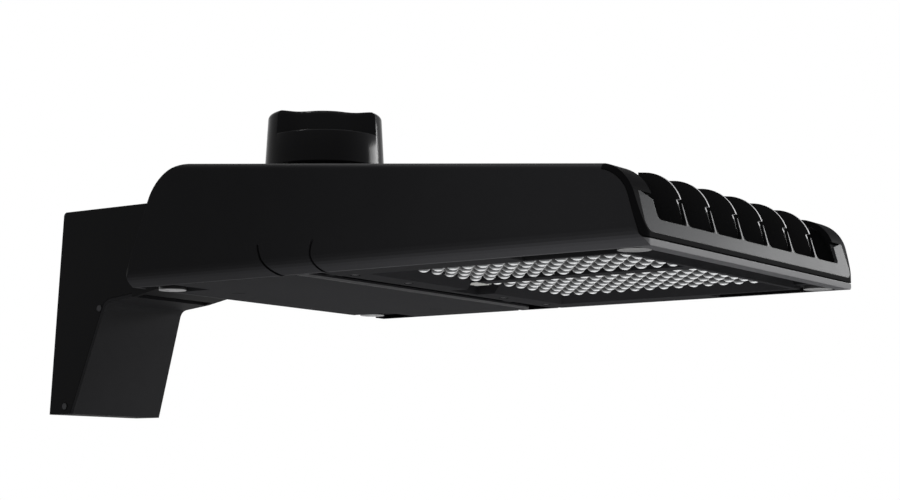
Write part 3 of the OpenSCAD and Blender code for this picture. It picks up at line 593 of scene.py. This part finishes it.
@dataclass(frozen=True)
class LedGrid:
    """Where the lamps of one bank stand.

    Attributes:
        first_x: X of the first column.
        first_y: Y of the row nearest the middle, taken positive.
        pitch_x: Distance between columns.
        pitch_y: Distance between rows.
        columns: Number of columns.
        rows: Number of rows in one bank.
    """

    first_x: float = 0.3738
    first_y: float = 0.0137
    pitch_x: float = 0.0117
    pitch_y: float = 0.0154
    columns: int = 14
    rows: int = 7

    def places(self, side: int) -> list[tuple[float, float]]:
        """X and Y of each lamp of the bank on that side."""
        return [(self.first_x + i * self.pitch_x, side * (self.first_y + j * self.pitch_y))
                for i in range(self.columns) for j in range(self.rows)]

    def reach(self, graph: Graph, place: Signal) -> Signal:
        """Distance in plan from the nearest lamp of the grid.

        Args:
            graph: Where to build.
            place: Place on the piece.

        Returns:
            The distance in metres.
        """
        x, y, _ = graph.axes(place)
        off_x = x.off_step(self.first_x, self.pitch_x)
        off_y = self.off_row(y)
        return (off_x * off_x + off_y * off_y) ** 0.5

    def off_row(self, y: Signal) -> Signal:
        """How far a Y is from the nearest row of lamps of either bank."""
        return abs(y).off_step(self.first_y, self.pitch_y)


@dataclass(frozen=True)
class ClearOptic(Finish):
    """Clear moulded lens plate with a bubble over each lamp, each bubble with painted highlights and
    painted shade.

    Attributes:
        grid: Where the lamps stand.
        foot: Distance from a lamp where its bubble ends and where the flat begins.
        tip_z: Heights between which a bubble turns to its painted highlight at the tip.
        side_z: Heights between which its side turns from painted shade to grey.
        back_z: Height up to which its side toward the pole has a painted highlight.
        back_x: X of the way a face faces, from not toward the pole to plainly so.
        tip_highlight: Colour of the painted highlight on the tip.
        back: Colour of the painted highlight on the side toward the pole.
        side: Colour of the other sides.
        root_shade: Colour of the painted shade on a bubble near the plate.
        flat: Colour of the flats between the bubbles.
    """

    grid: LedGrid = LedGrid()
    foot: tuple[float, float] = (0.0044, 0.0050)
    tip_z: tuple[float, float] = (0.0053, 0.0050)
    side_z: tuple[float, float] = (0.0066, 0.0055)
    back_z: float = 0.0066
    back_x: tuple[float, float] = (-0.70, -0.85)
    tip_highlight: RGB = (0.97, 0.98, 1.0)
    back: RGB = (0.80, 0.82, 0.85)
    side: RGB = (0.16, 0.165, 0.17)
    root_shade: RGB = (0.006, 0.006, 0.007)
    flat: RGB = (0.010, 0.010, 0.011)

    def sockets(self, graph: Graph) -> Sockets:
        """Clear plastic, a little hazed in the flats between the bubbles, with painted highlights
        and painted shade on the bubbles.

        Args:
            graph: Where to build.

        Returns:
            Its values and signals.
        """
        place = graph.place()
        z = graph.axes(place)[2]
        haze = graph.noise(place, 0.006, 3.0)
        flat = self.grid.reach(graph, place).ramp(*self.foot)
        # Painted highlights on the tip and on the side toward the pole, painted shade at the root.
        back = graph.facing()[0].ramp(*self.back_x) * (z < self.back_z)
        body = graph.mix(z.ramp(*self.side_z), self.root_shade, self.side)
        lit = graph.mix(z.ramp(*self.tip_z), graph.mix(back, body, self.back), self.tip_highlight)
        return {"Base Color": graph.mix(flat, lit, self.flat),
                "Roughness": 0.04 + flat * 0.2 + haze * 0.05,
                "Transmission Weight": 0.2,
                "IOR": 1.49,
                "Specular IOR Level": 0.5,
                "Normal": graph.relief(haze, 0.00006, 0.25)}


@dataclass(frozen=True)
class LampBoard(Finish):
    """Circuit board with white mask, copper showing through and solder at the lamps.

    Attributes:
        grid: Where the lamps stand.
        track: Distance from a row where its track begins and where it is full.
        pad: Distance from a lamp where its white pad begins and where it is full.
        tin: Colour of the tracks.
        white: Colour of the pads.
        mask: Colours between which the mask is cloudy.
    """

    grid: LedGrid = LedGrid()
    track: tuple[float, float] = (0.0012, 0.0009)
    pad: tuple[float, float] = (0.0042, 0.0036)
    tin: RGB = (0.42, 0.38, 0.30)
    white: RGB = (0.86, 0.86, 0.82)
    mask: tuple[RGB, RGB] = ((0.16, 0.165, 0.16), (0.22, 0.225, 0.215))

    def sockets(self, graph: Graph) -> Sockets:
        """White near the lamps, grey mask between them, tinned tracks along the rows.

        Args:
            graph: Where to build.

        Returns:
            Its values and signals.
        """
        place = graph.place()
        reach = self.grid.reach(graph, place)
        on_track = abs(self.grid.off_row(graph.axes(place)[1])).ramp(*self.track)
        cloud = graph.noise(place, 0.01, 3.0)
        tracked = graph.mix(on_track * 0.5, graph.mix(cloud, *self.mask), self.tin)
        return {"Base Color": graph.mix(reach.ramp(*self.pad), tracked, self.white),
                "Roughness": 0.4 + cloud * 0.1,
                "Specular IOR Level": 0.3,
                "Normal": graph.relief(on_track, 0.00006, 0.6)}


@dataclass(frozen=True)
class Jacket(Finish):
    """Jackets of a bundle of leads, told apart by where each lies across.

    Attributes:
        first: Colour of the first lead.
        second: Colour of the next one.
        split: Y between the two.
    """

    first: RGB = (0.35, 0.02, 0.015)
    second: RGB = (0.012, 0.012, 0.013)
    split: float = 0.0

    def sockets(self, graph: Graph) -> Sockets:
        """Two jacket colours, with a fine drawn texture.

        Args:
            graph: Where to build.

        Returns:
            Its values and signals.
        """
        place = graph.place()
        drawn = graph.noise(place, 0.0008, 2.0)
        return {"Base Color": graph.mix(graph.axes(place)[1] > self.split, self.first, self.second),
                "Roughness": 0.42 + drawn * 0.12,
                "Specular IOR Level": 0.35,
                "Normal": graph.relief(drawn, 0.00004, 0.3)}


@dataclass(frozen=True)
class LinedPaint(PowderCoat):
    """Paint with painted highlight lines in step with the openings of the nose.

    Attributes:
        pitch: Distance between the lines.
        wide: Width of a line.
        cheek_y: Where the outermost openings end.
        bright: Colour of the painted highlight lines.
    """

    pitch: float = 0.0374
    wide: float = 0.0012
    cheek_y: float = 0.1309
    bright: RGB = (0.62, 0.62, 0.63)

    def line(self, y: Signal) -> Signal:
        """One on the painted highlight lines and 0 beside them."""
        return abs(y.off_step(-self.cheek_y, self.pitch)) < self.wide / 2


@dataclass(frozen=True)
class FacePaint(LinedPaint):
    """Grey paint of the face plate, black on its ribs but for a painted highlight line down each.

    Attributes:
        bar_z: Height of the top of the bar that carries the ribs.
        post: Width of the corner posts' edge that stays grey inside the cheeks.
        rib: Colour of the ribs beside the line.
        front_x: X of the way a face faces, from which on it is the front of a rib.
    """

    wide: float = 0.0011
    bright: RGB = (0.22, 0.22, 0.225)
    bar_z: float = 0.0169
    post: float = 0.004
    rib: RGB = (0.006, 0.006, 0.0065)
    front_x: float = 0.88

    def ground(self, graph: Graph, colour: Signal) -> Signal:
        """Black on the ribs, with a painted highlight down the middle of each in front.

        Args:
            graph: Where to build.
            colour: The paint's own colour.

        Returns:
            The colour on this piece.
        """
        _, y, z = graph.axes(graph.place())
        on_rib = (abs(y) < self.cheek_y - self.post) * (z > self.bar_z)
        # Painted highlight down the front of each rib.
        line = self.line(y) * (graph.facing()[0] > self.front_x)
        return graph.mix(on_rib, colour, graph.mix(line, self.rib, self.bright))


@dataclass(frozen=True)
class FinCoat(LinedPaint):
    """Black coat of the heat sink, with a painted highlight down the middle of the fins' edges.

    Attributes:
        base_z: Height of the ribs' tops, above which the fins' edges show.
    """

    base_z: float = 0.0305

    def ground(self, graph: Graph, colour: Signal) -> Signal:
        """Painted highlight along the middle of the edge of each fin."""
        _, y, z = graph.axes(graph.place())
        # Painted highlight on the fins' edges.
        return graph.mix(self.line(y) * (z > self.base_z), colour, self.bright)


PLAIN_STEEL = Metal("plain steel", (0.50, 0.51, 0.52), 0.38, Grain.TURNED)
BLACKENED_SCREWS = Metal("blackened screws", (0.03, 0.03, 0.032), 0.4)
ZINC_SCREWS = Metal("zinc screws", (0.74, 0.75, 0.76), 0.28)
BLACK_RUBBER = Rubber("black rubber")
WHITE_NYLON = Plastic("white nylon", (0.50, 0.50, 0.48), 0.4, 0.4)


# ---------- the light's sub-assemblies ----------


def dress(finish: Finish, *nodes: str) -> None:
    """Gives parts a finish.

    Args:
        finish: The finish.
        nodes: Names of the parts.
    """
    for node in nodes:
        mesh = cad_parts[node].data
        mesh.materials.clear()
        mesh.materials.append(finish.material())


def piece(name: str, shape: bmesh.types.BMesh, finish: Finish, body: Body,
          smooth: bool = True) -> bpy.types.Object:
    """Makes a visible piece out of a shape and hangs it on a body.

    Args:
        name: Name of the piece.
        shape: The shape, in the frame of the parts; it is freed.
        finish: Its finish.
        body: What it moves with.
        smooth: Whether its faces are shaded smooth.

    Returns:
        The piece.
    """
    mesh = bpy.data.meshes.new(name)
    shape.to_mesh(mesh)
    shape.free()
    if smooth:
        mesh.shade_smooth()
        mesh.set_sharp_from_angle(angle=math.radians(SHARP_DEGREES))
    made = bpy.data.objects.new(name, mesh)
    mesh.materials.append(finish.material())
    bpy.context.scene.collection.objects.link(made)
    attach(made, body.value)
    log.info("%s: %d faces", name, len(mesh.polygons))
    return made


@dataclass
class PoleArm:
    """The cast arm with its folded cover, gasket, bolts and screws.

    Attributes:
        paint: Finish of the arm.
        cover_paint: Finish of its cover.
    """

    paint: PowderCoat = PowderCoat("arm paint", (0.0044, 0.0044, 0.0048), 0.42, 0.03)
    cover_paint: PowderCoat = PowderCoat("cover paint", (0.0100, 0.0100, 0.0108), 0.45, 0.03,
                                         0.0014, 0.00004, 0.0004)

    def build(self) -> None:
        """Dresses the arm's parts."""
        dress(self.paint, "pole_arm")
        dress(self.cover_paint, "arm_cover")
        dress(BLACKENED_SCREWS, "arm_cover_screws")
        dress(BLACK_RUBBER, "arm_gasket")
        dress(PLAIN_STEEL, "arm_bolts")


@dataclass
class Housing:
    """The wedge casting with its door and the screws that show on its underside.

    Attributes:
        paint: Finish of the casting.
        door_paint: Finish of the door.
        zinc: Finish of the thumbscrews, whose sides get painted shade in their pockets.
        corner_zinc: Finish of the two big screws in the front corners.
    """

    paint: CastingPaint = CastingPaint("housing paint", (0.0086, 0.0086, 0.0092), 0.42, 0.015,
                                       under_light=3.0)
    door_paint: DoorPaint = DoorPaint("door paint", (0.0205, 0.0205, 0.0220), 0.50, 0.004)
    zinc: Metal = Metal("bright zinc", (0.24, 0.24, 0.245), 0.45, Grain.EVEN, 0.0009, 0.3, 0.5 * MM)
    corner_zinc: Metal = Metal("dull zinc", (0.085, 0.085, 0.087), 0.5, Grain.EVEN, 0.0016, 0.75)

    def build(self) -> None:
        """Dresses the housing, its door and the hardware of both."""
        dress(self.paint, "housing")
        dress(self.door_paint, "driver_door")
        dress(self.zinc, "thumbscrew_near", "thumbscrew_far", "thumbscrew_clips")
        dress(PLAIN_STEEL, "hinge_pins")
        dress(self.corner_zinc, "corner_screws")


@dataclass
class Nose:
    """The finned heat sink with the black frame and the face plate before it.

    Attributes:
        frame_paint: Finish of the frame.
        plate_paint: Finish of the face plate.
        fin_coat: Finish of the heat sink.
    """

    frame_paint: PowderCoat = PowderCoat("nose paint", (0.0056, 0.0056, 0.006), 0.5, 0.001)
    plate_paint: FacePaint = FacePaint("face paint", (0.035, 0.036, 0.038), 0.38, 0.004,
                                       edge=0.0006, wear_and_highlight=0.22)
    fin_coat: FinCoat = FinCoat("fin coat", (0.0125, 0.0125, 0.013), 0.45, 0.01, 0.002, 0.00004)

    def build(self) -> None:
        """Dresses the nose's parts."""
        dress(self.frame_paint, "nose_frame")
        dress(self.plate_paint, "nose_plate")
        dress(self.fin_coat, "heat_sink")
        dress(ZINC_SCREWS, "nose_frame_screws")
        dress(PLAIN_STEEL, "heat_sink_screws")


@dataclass
class LightEngine:
    """The bezel, the two lamp boards and their bubble optics.

    Attributes:
        grid: Where the lamps stand.
        dome: Radius of a lamp's dome of phosphor.
        flatness: Height of a dome over its radius.
        board_face: Height of the boards' face, on which the domes sit.
        plug_at: Middle of the connector.
        plug_size: Size of its body.
        plug_ways: How many leads it can take.
        plug_edge: Size of the rounds on its edges.
    """

    grid: LedGrid = LedGrid()
    dome: float = 1.3 * MM
    flatness: float = 0.42
    board_face: float = 9.6 * MM
    plug_at: tuple[float, float, float] = (0.3583, 0.0110, 0.0086)
    plug_size: tuple[float, float, float] = (0.0140, 0.0190, 0.0054)
    plug_ways: int = 4
    plug_edge: float = 0.0003

    def plug(self) -> bpy.types.Object:
        """The connector of the boards: a rounded block with a ribbed front and a latch.

        Returns:
            The piece.
        """
        shape = bmesh.new()
        body = Vector(self.plug_size)
        pitch = body.y / self.plug_ways
        # Middle and size of each block: the body, a rib and a mouth for each lead, the latch.
        blocks = [(Vector((0.0, 0.0, 0.0005)), body)]
        for i in range(self.plug_ways):
            y = (i + 0.5) * pitch - body.y / 2
            blocks.append((Vector((-0.0006, y, -0.0026)), Vector((0.0112, 0.55 * pitch, 0.0016))))
            blocks.append((Vector((0.0060, y, -0.0024)), Vector((0.0016, 0.8 * pitch, 0.0010))))
        blocks.append((Vector((-0.0074, 0.0, -0.0010)), Vector((0.0024, 0.0070, 0.0018))))
        for at, size in blocks:
            turn = Matrix.Translation(Vector(self.plug_at) + at) @ Matrix.Diagonal((*size, 1.0))
            made = bmesh.ops.create_cube(shape, size=1.0, matrix=turn)["verts"]
            edges = {edge for vert in made for edge in vert.link_edges}
            bmesh.ops.bevel(shape, geom=list(edges), offset=self.plug_edge, segments=2, profile=0.5,
                            affect="EDGES")
        return piece("connector_plug", shape, WHITE_NYLON, Body.FIXTURE)

    def domes(self, side: int, name: str) -> bpy.types.Object:
        """The domes of phosphor on the lamps of one bank.

        Args:
            side: -1 for the near bank, 1 for the far one.
            name: Name of the piece.

        Returns:
            The piece.
        """
        shape = bmesh.new()
        flat = Matrix.Diagonal((1, 1, -self.flatness, 1))
        for x, y in self.grid.places(side):
            turn = Matrix.Translation((x, y, self.board_face)) @ flat
            bmesh.ops.create_uvsphere(shape, u_segments=10, v_segments=6, radius=self.dome,
                                      matrix=turn)
        return piece(name, shape, Plastic("lamp phosphor", (0.80, 0.62, 0.16), 0.35, 0.4),
                     Body.FIXTURE)

    def build(self) -> None:
        """Dresses the engine's parts and sets the lamps on the boards."""
        dress(PowderCoat("bezel paint", (0.0190, 0.0190, 0.0204), 0.52, 0.003), "engine_bezel")
        dress(BLACKENED_SCREWS, "bezel_screws")
        dress(LampBoard("lamp board"), "led_board_near", "led_board_far")
        dress(ClearOptic("bubble optic"), "optic_near", "optic_far")
        dress(Rubber("pale silicone", (0.55, 0.55, 0.53), 0.5), "optic_gaskets")
        dress(WHITE_NYLON, "led_connector")
        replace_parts(self.plug(), "led_connector")
        dress(Jacket("lamp leads"), "led_leads")
        dress(BLACK_RUBBER, "lead_grommet")
        self.domes(-1, "lamp_domes_near")
        self.domes(1, "lamp_domes_far")


@dataclass
class DriverBay:
    """The driver, the surge protector and the wiring behind the door."""

    def build(self) -> None:
        """Dresses what the door covers."""
        dress(Plastic("driver case", (0.66, 0.66, 0.63), 0.38, 0.4), "led_driver")
        dress(ZINC_SCREWS, "driver_screws", "terminal_screws")
        dress(Plastic("surge case", (0.02, 0.085, 0.035), 0.3, 0.5), "surge_protector")
        dress(Plastic("terminal nylon", (0.62, 0.58, 0.45), 0.45, 0.3), "terminal_block")
        dress(Metal("green ground screw", (0.02, 0.30, 0.08), 0.35), "ground_screw")
        dress(Jacket("control leads", (0.30, 0.015, 0.012), (0.012, 0.012, 0.013)), "control_leads")


def turned(rings: list[tuple[float, list[float]]], at: tuple[float, float],
           hollow: bool = False) -> bmesh.types.BMesh:
    """Skins a form round an upright axis from rings of its section.

    Args:
        rings: Height of each ring and its radius in each of the same number of directions.
        at: X and Y of the axis.
        hollow: Whether the last ring joins the first, where the form is a tube.

    Returns:
        The shape, without open ends.
    """
    shape = bmesh.new()
    count = len(rings[0][1])
    made = []
    for z, radii in rings:
        made.append([shape.verts.new((at[0] + r * math.cos(math.tau * i / count),
                                      at[1] + r * math.sin(math.tau * i / count), z))
                     for i, r in enumerate(radii)])
    for low, high in zip(made, made[1:] + (made[:1] if hollow else [])):
        for i in range(count):
            j = (i + 1) % count
            shape.faces.new((low[i], low[j], high[j], high[i]))
    if not hollow:
        shape.faces.new(list(reversed(made[0])))
        shape.faces.new(made[-1])
        bmesh.ops.remove_doubles(shape, verts=shape.verts, dist=WELD)
    bmesh.ops.recalc_face_normals(shape, faces=shape.faces)
    return shape


@dataclass
class Photocontrol:
    """The receptacle on the roof and the shorting cap twisted onto it.

    Attributes:
        axis: X and Y of the axis of both.
        flange: Radius of the receptacle's flange.
        flange_z: Heights of the bottom and the top of the flange.
        flange_foot: Size of the bevel round the flange's bottom.
        flange_brim: Size of the round at its top.
        flange_bend: How far down and in the middle of that round lies.
        drum: Radius of the drum inside the flange.
        radius: Radius of the cap at its foot.
        foot_z: Height of the cap's foot.
        height: Height of the cap.
        draft: How much narrower the cap is at its top.
        ledge: Height of the ledge round the finger grip.
        wall: Thickness of the cap's wall.
        well: Radius of the hollow inside the grip.
        lean: How much narrower the hollow of the skirt is at its top.
        foot: Size of the bevel round the cap's foot.
        brim: Radius of the round at the ledge's outer edge.
        fillet: Radius of the fillet between the ledge and the grip.
        edge: Radius of the round at the top.
        crown: Radius of the innermost ring of the top.
        brink: How far inside the skirt the grip lies at least where a scallop cuts it.
        grip_turn: Direction of the middle of one finger scallop, in degrees.
        scallop: Half of a finger scallop in plan, from its middle outward.
        directions: How many points a ring of the cap has.
        flange_directions: How many points a ring of the flange has.
    """

    axis: tuple[float, float] = (0.231, 0.0)
    flange: float = 43.4 * MM
    flange_z: tuple[float, float] = (84.7 * MM, 94.0 * MM)
    flange_foot: float = 0.5 * MM
    flange_brim: float = 1.2 * MM
    flange_bend: tuple[float, float] = (0.4 * MM, 0.35 * MM)
    drum: float = 33.2 * MM
    radius: float = 44.0 * MM
    foot_z: float = 96.58 * MM
    height: float = 40.58 * MM
    draft: float = 2.2 * MM
    ledge: float = 23.2 * MM
    wall: float = 2.6 * MM
    well: float = 16.0 * MM
    lean: float = 2 * MM
    foot: float = 0.6 * MM
    brim: float = 0.8 * MM
    fillet: float = 1.0 * MM
    edge: float = 3.4 * MM
    crown: float = 6.0 * MM
    brink: float = 0.0002
    grip_turn: float = -49.0
    scallop: tuple[tuple[float, float], ...] = (
        (26.0, 0.0), (26.0, 2.0), (25.4, 6.5), (23.9, 11.0), (21.6, 15.5), (19.9, 20.0),
        (19.4, 24.0), (20.0, 28.0), (22.0, 32.0), (24.2, 36.4))
    directions: int = 480
    flange_directions: int = 192

    def outer(self, z: float) -> float:
        """Radius of the drafted outside at a height over the foot."""
        return self.radius - self.draft * z / self.height

    def grip(self) -> list[float]:
        """Radius of the finger grip in every direction, with its corners rounded.

        Returns:
            The radii; they reach the outside where no scallop cuts it.
        """
        table = [(math.degrees(math.atan2(y, x)), math.hypot(x, y) * MM) for x, y in self.scallop]
        sharp = []
        for i in range(self.directions):
            turn = (360.0 * i / self.directions - self.grip_turn + 90.0) % 180.0 - 90.0
            off = abs(turn)
            radius = 2 * self.radius
            for (a0, r0), (a1, r1) in zip(table, table[1:]):
                if a0 <= off <= a1:
                    radius = r0 + (r1 - r0) * (off - a0) / (a1 - a0)
            sharp.append(min(radius, self.outer(self.ledge)))
        reach = self.directions // 240
        count = len(sharp)
        return [sum(sharp[(i + k) % count] for k in range(-reach, reach + 1)) / (2 * reach + 1)
                for i in range(count)]

    def skirt(self) -> list[tuple[float, float]]:
        """Height over the foot and radius of the round rings: the hollow, the foot and the skirt."""
        return [(self.height - self.wall, self.well),
                (self.ledge - self.wall, self.well),
                (self.ledge - self.wall, self.radius - self.wall - self.lean),
                (0.0, self.radius - self.wall),
                (0.0, self.radius - self.foot),
                (self.foot, self.outer(self.foot)),
                (self.ledge / 2, self.outer(self.ledge / 2))]

    def cap_shell(self) -> bpy.types.Object:
        """The twist-lock cap: a drafted skirt, a ledge, and a grip scalloped on two sides.

        Returns:
            The piece.
        """
        grip = self.grip()
        rings = [(z, [radius] * len(grip)) for z, radius in self.skirt()]
        brink = self.outer(self.ledge) - self.brink
        for turn in (0, 30, 60, 90):
            z = self.ledge - self.brim * (1 - math.sin(math.radians(turn)))
            pull = self.brim * (1 - math.cos(math.radians(turn)))
            rings.append((z, [self.outer(z) - (pull if r < brink else 0.0) for r in grip]))
        for turn in (0, 30, 60, 90):
            z = self.ledge + self.fillet * (1 - math.cos(math.radians(turn)))
            push = self.fillet * (1 - math.sin(math.radians(turn)))
            rings.append((z, [min(r + push, self.outer(z)) for r in grip]))
        for turn in range(0, 91, 15):
            z = self.height - self.edge * (1 - math.sin(math.radians(turn)))
            pull = self.edge * (1 - math.cos(math.radians(turn)))
            rings.append((z, [min(r, self.outer(z)) - pull for r in grip]))
        rings.append((self.height, [self.crown] * len(grip)))
        rings = [(self.foot_z + z, radii) for z, radii in rings]
        gloss = Plastic("glossy cap", (0.0120, 0.0120, 0.0127), 0.17, 0.016, 0.003, 0.00001, 0.0009)
        return piece("cap_shell", turned(rings, self.axis), gloss, Body.CAP)

    def flange_ring(self) -> bpy.types.Object:
        """The receptacle's broad flange, that shows as a step under the cap.

        Returns:
            The piece.
        """
        low, high = self.flange_z
        down, inward = self.flange_bend
        section = [(low, self.drum),
                   (low, self.flange - self.flange_foot),
                   (low + self.flange_foot, self.flange),
                   (high - self.flange_brim, self.flange),
                   (high - down, self.flange - inward),
                   (high, self.flange - self.flange_brim),
                   (high, self.drum)]
        rings = [(z, [radius] * self.flange_directions) for z, radius in section]
        satin = Plastic("flange plastic", (0.0052, 0.0052, 0.0056), 0.24, 0.025, 0.002, 0.00001,
                        0.0006)
        return piece("receptacle_flange", turned(rings, self.axis, hollow=True), satin,
                     Body.FIXTURE)

    def build(self) -> None:
        """Dresses the receptacle and the cap, and sets their outer forms."""
        dress(Plastic("receptacle plastic", (0.03, 0.03, 0.033), 0.42, 0.3), "receptacle")
        dress(BLACK_RUBBER, "receptacle_gasket", "cap_seal")
        dress(PLAIN_STEEL, "receptacle_screws")
        dress(Metal("contact brass", (0.66, 0.44, 0.16), 0.3), "receptacle_contacts", "cap_blades")
        dress(Plastic("inner cap", (0.0045, 0.0045, 0.005), 0.2, 0.05), "shorting_cap")
        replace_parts(self.cap_shell(), "shorting_cap")
        self.flange_ring()
        dress(Plastic("cap base", (0.012, 0.012, 0.013), 0.5, 0.25), "cap_base")


# ---------- the studio ----------


@dataclass(frozen=True)
class Softbox:
    """A rectangular softbox.

    Attributes:
        name: Its name.
        at: Where its middle is.
        size: Width and height in metres.
        radiance: Brightness of its face, where 1 is white.
    """

    name: str
    at: tuple[float, float, float]
    size: tuple[float, float]
    radiance: float

    def hang(self, aim: Vector) -> None:
        """Hangs the softbox.

        Args:
            aim: The point that it faces.
        """
        data = bpy.data.lights.new(self.name, "AREA")
        data.shape = "RECTANGLE"
        data.size, data.size_y = self.size
        data.energy = self.radiance * math.pi * self.size[0] * self.size[1]
        made = bpy.data.objects.new(self.name, data)
        made.location = self.at
        made.rotation_euler = (aim - Vector(self.at)).to_track_quat("-Z", "Y").to_euler()
        bpy.context.scene.collection.objects.link(made)


@dataclass
class Studio:
    """Camera, lamps, floor and the white all round.

    Attributes:
        camera_at: Where the camera stands.
        camera_turn: How it is turned, in degrees.
        lens: Its focal length in millimetres.
        sensor: Width of its sensor in millimetres.
        middle: The point that the lamps face, over the middle of the floor.
        floor_z: Height of the floor.
        floor_radius: Radius of the floor.
        floor_points: How many points its edge has.
        ambient: Brightness of the soft light from all round.
        softboxes: The lamps.
    """

    camera_at: tuple[float, float, float] = (1.0859, -1.0862, -0.1376)
    camera_turn: tuple[float, float, float] = (97.235, 0.0, 34.36)
    lens: float = 75.61
    sensor: float = 36.0
    middle: tuple[float, float, float] = (0.3, 0.0, 0.02)
    floor_z: float = -0.34
    floor_radius: float = 4.0
    floor_points: int = 96
    ambient: float = 0.45
    softboxes: tuple[Softbox, ...] = (
        Softbox("right_softbox", (1.1, 1.5, 0.45), (0.9, 0.30), 44.0),
        Softbox("top_softbox", (0.2, -0.3, 1.9), (1.2, 0.5), 3.5),
        Softbox("left_spotbox", (-0.57, 0.13, 1.8), (0.16, 0.16), 120.0),
        Softbox("back_spotbox", (-0.03, 1.42, 1.35), (0.16, 0.16), 120.0))

    def camera(self) -> None:
        """Sets the camera at the photograph's viewpoint."""
        data = bpy.data.cameras.new("camera")
        data.lens = self.lens
        data.sensor_width = self.sensor
        data.clip_start = 0.01
        made = bpy.data.objects.new("camera", data)
        made.location = self.camera_at
        made.rotation_euler = [math.radians(a) for a in self.camera_turn]
        bpy.context.scene.collection.objects.link(made)
        bpy.context.scene.camera = made

    def paper(self) -> bpy.types.Material:
        """The floor's pale paper, which the camera sees through from below.

        Returns:
            The material.
        """
        material = bpy.data.materials.new("floor paper")
        material.use_nodes = True
        graph = Graph(material.node_tree)
        tooth = graph.noise(graph.place(), 0.004, 2.0)
        below = (graph.node("ShaderNodeNewGeometry", output="Backfacing")
                 * graph.node("ShaderNodeLightPath", output="Is Camera Ray"))
        paper = graph.node("ShaderNodeBsdfPrincipled", {}, {
            "Base Color": graph.mix(tooth, (0.78, 0.78, 0.78), (0.82, 0.82, 0.82)),
            "Roughness": 0.9, "Specular IOR Level": 0.0})
        clear = graph.node("ShaderNodeBsdfTransparent")
        graph.end("ShaderNodeOutputMaterial",
                  graph.node("ShaderNodeMixShader", {}, {0: below, 1: paper, 2: clear}))
        return material

    def floor(self) -> None:
        """Lays the pale floor."""
        shape = bmesh.new()
        at = Matrix.Translation((*self.middle[:2], self.floor_z))
        bmesh.ops.create_circle(shape, cap_ends=True, segments=self.floor_points,
                                radius=self.floor_radius, matrix=at)
        mesh = bpy.data.meshes.new("floor")
        shape.to_mesh(mesh)
        shape.free()
        made = bpy.data.objects.new("floor", mesh)
        mesh.materials.append(self.paper())
        bpy.context.scene.collection.objects.link(made)

    def world(self) -> None:
        """White where the camera, gloss and glass look; plain soft light elsewhere."""
        world = bpy.data.worlds.new("studio")
        world.use_nodes = True
        bpy.context.scene.world = world
        graph = Graph(world.node_tree)
        camera, glossy, passing = (graph.node("ShaderNodeLightPath", output=f"Is {ray} Ray")
                                   for ray in ("Camera", "Glossy", "Transmission"))
        seen = camera + glossy + passing > 0.5
        shade = graph.mix(seen, (self.ambient,) * 3, (1.0, 1.0, 1.0))
        light = graph.node("ShaderNodeBackground", {}, {"Color": shade, "Strength": 1.0})
        graph.end("ShaderNodeOutputWorld", light)

    def build(self) -> None:
        """Sets the whole studio up."""
        self.camera()
        self.world()
        self.floor()
        for softbox in self.softboxes:
            softbox.hang(Vector(self.middle))
        bpy.context.scene.view_settings.view_transform = "Standard"


def main() -> None:
    """Builds the light's looks and the studio, and logs the face counts of new pieces and each
    assembly as it is done.
    """
    logging.basicConfig(level=logging.INFO, format="%(name)s: %(message)s")
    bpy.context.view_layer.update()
    for assembly in (Studio(), PoleArm(), Housing(), Nose(), LightEngine(), DriverBay(),
                     Photocontrol()):
        assembly.build()
        log.info("%s done", type(assembly).__name__)


if __name__ == "__main__":
    main()
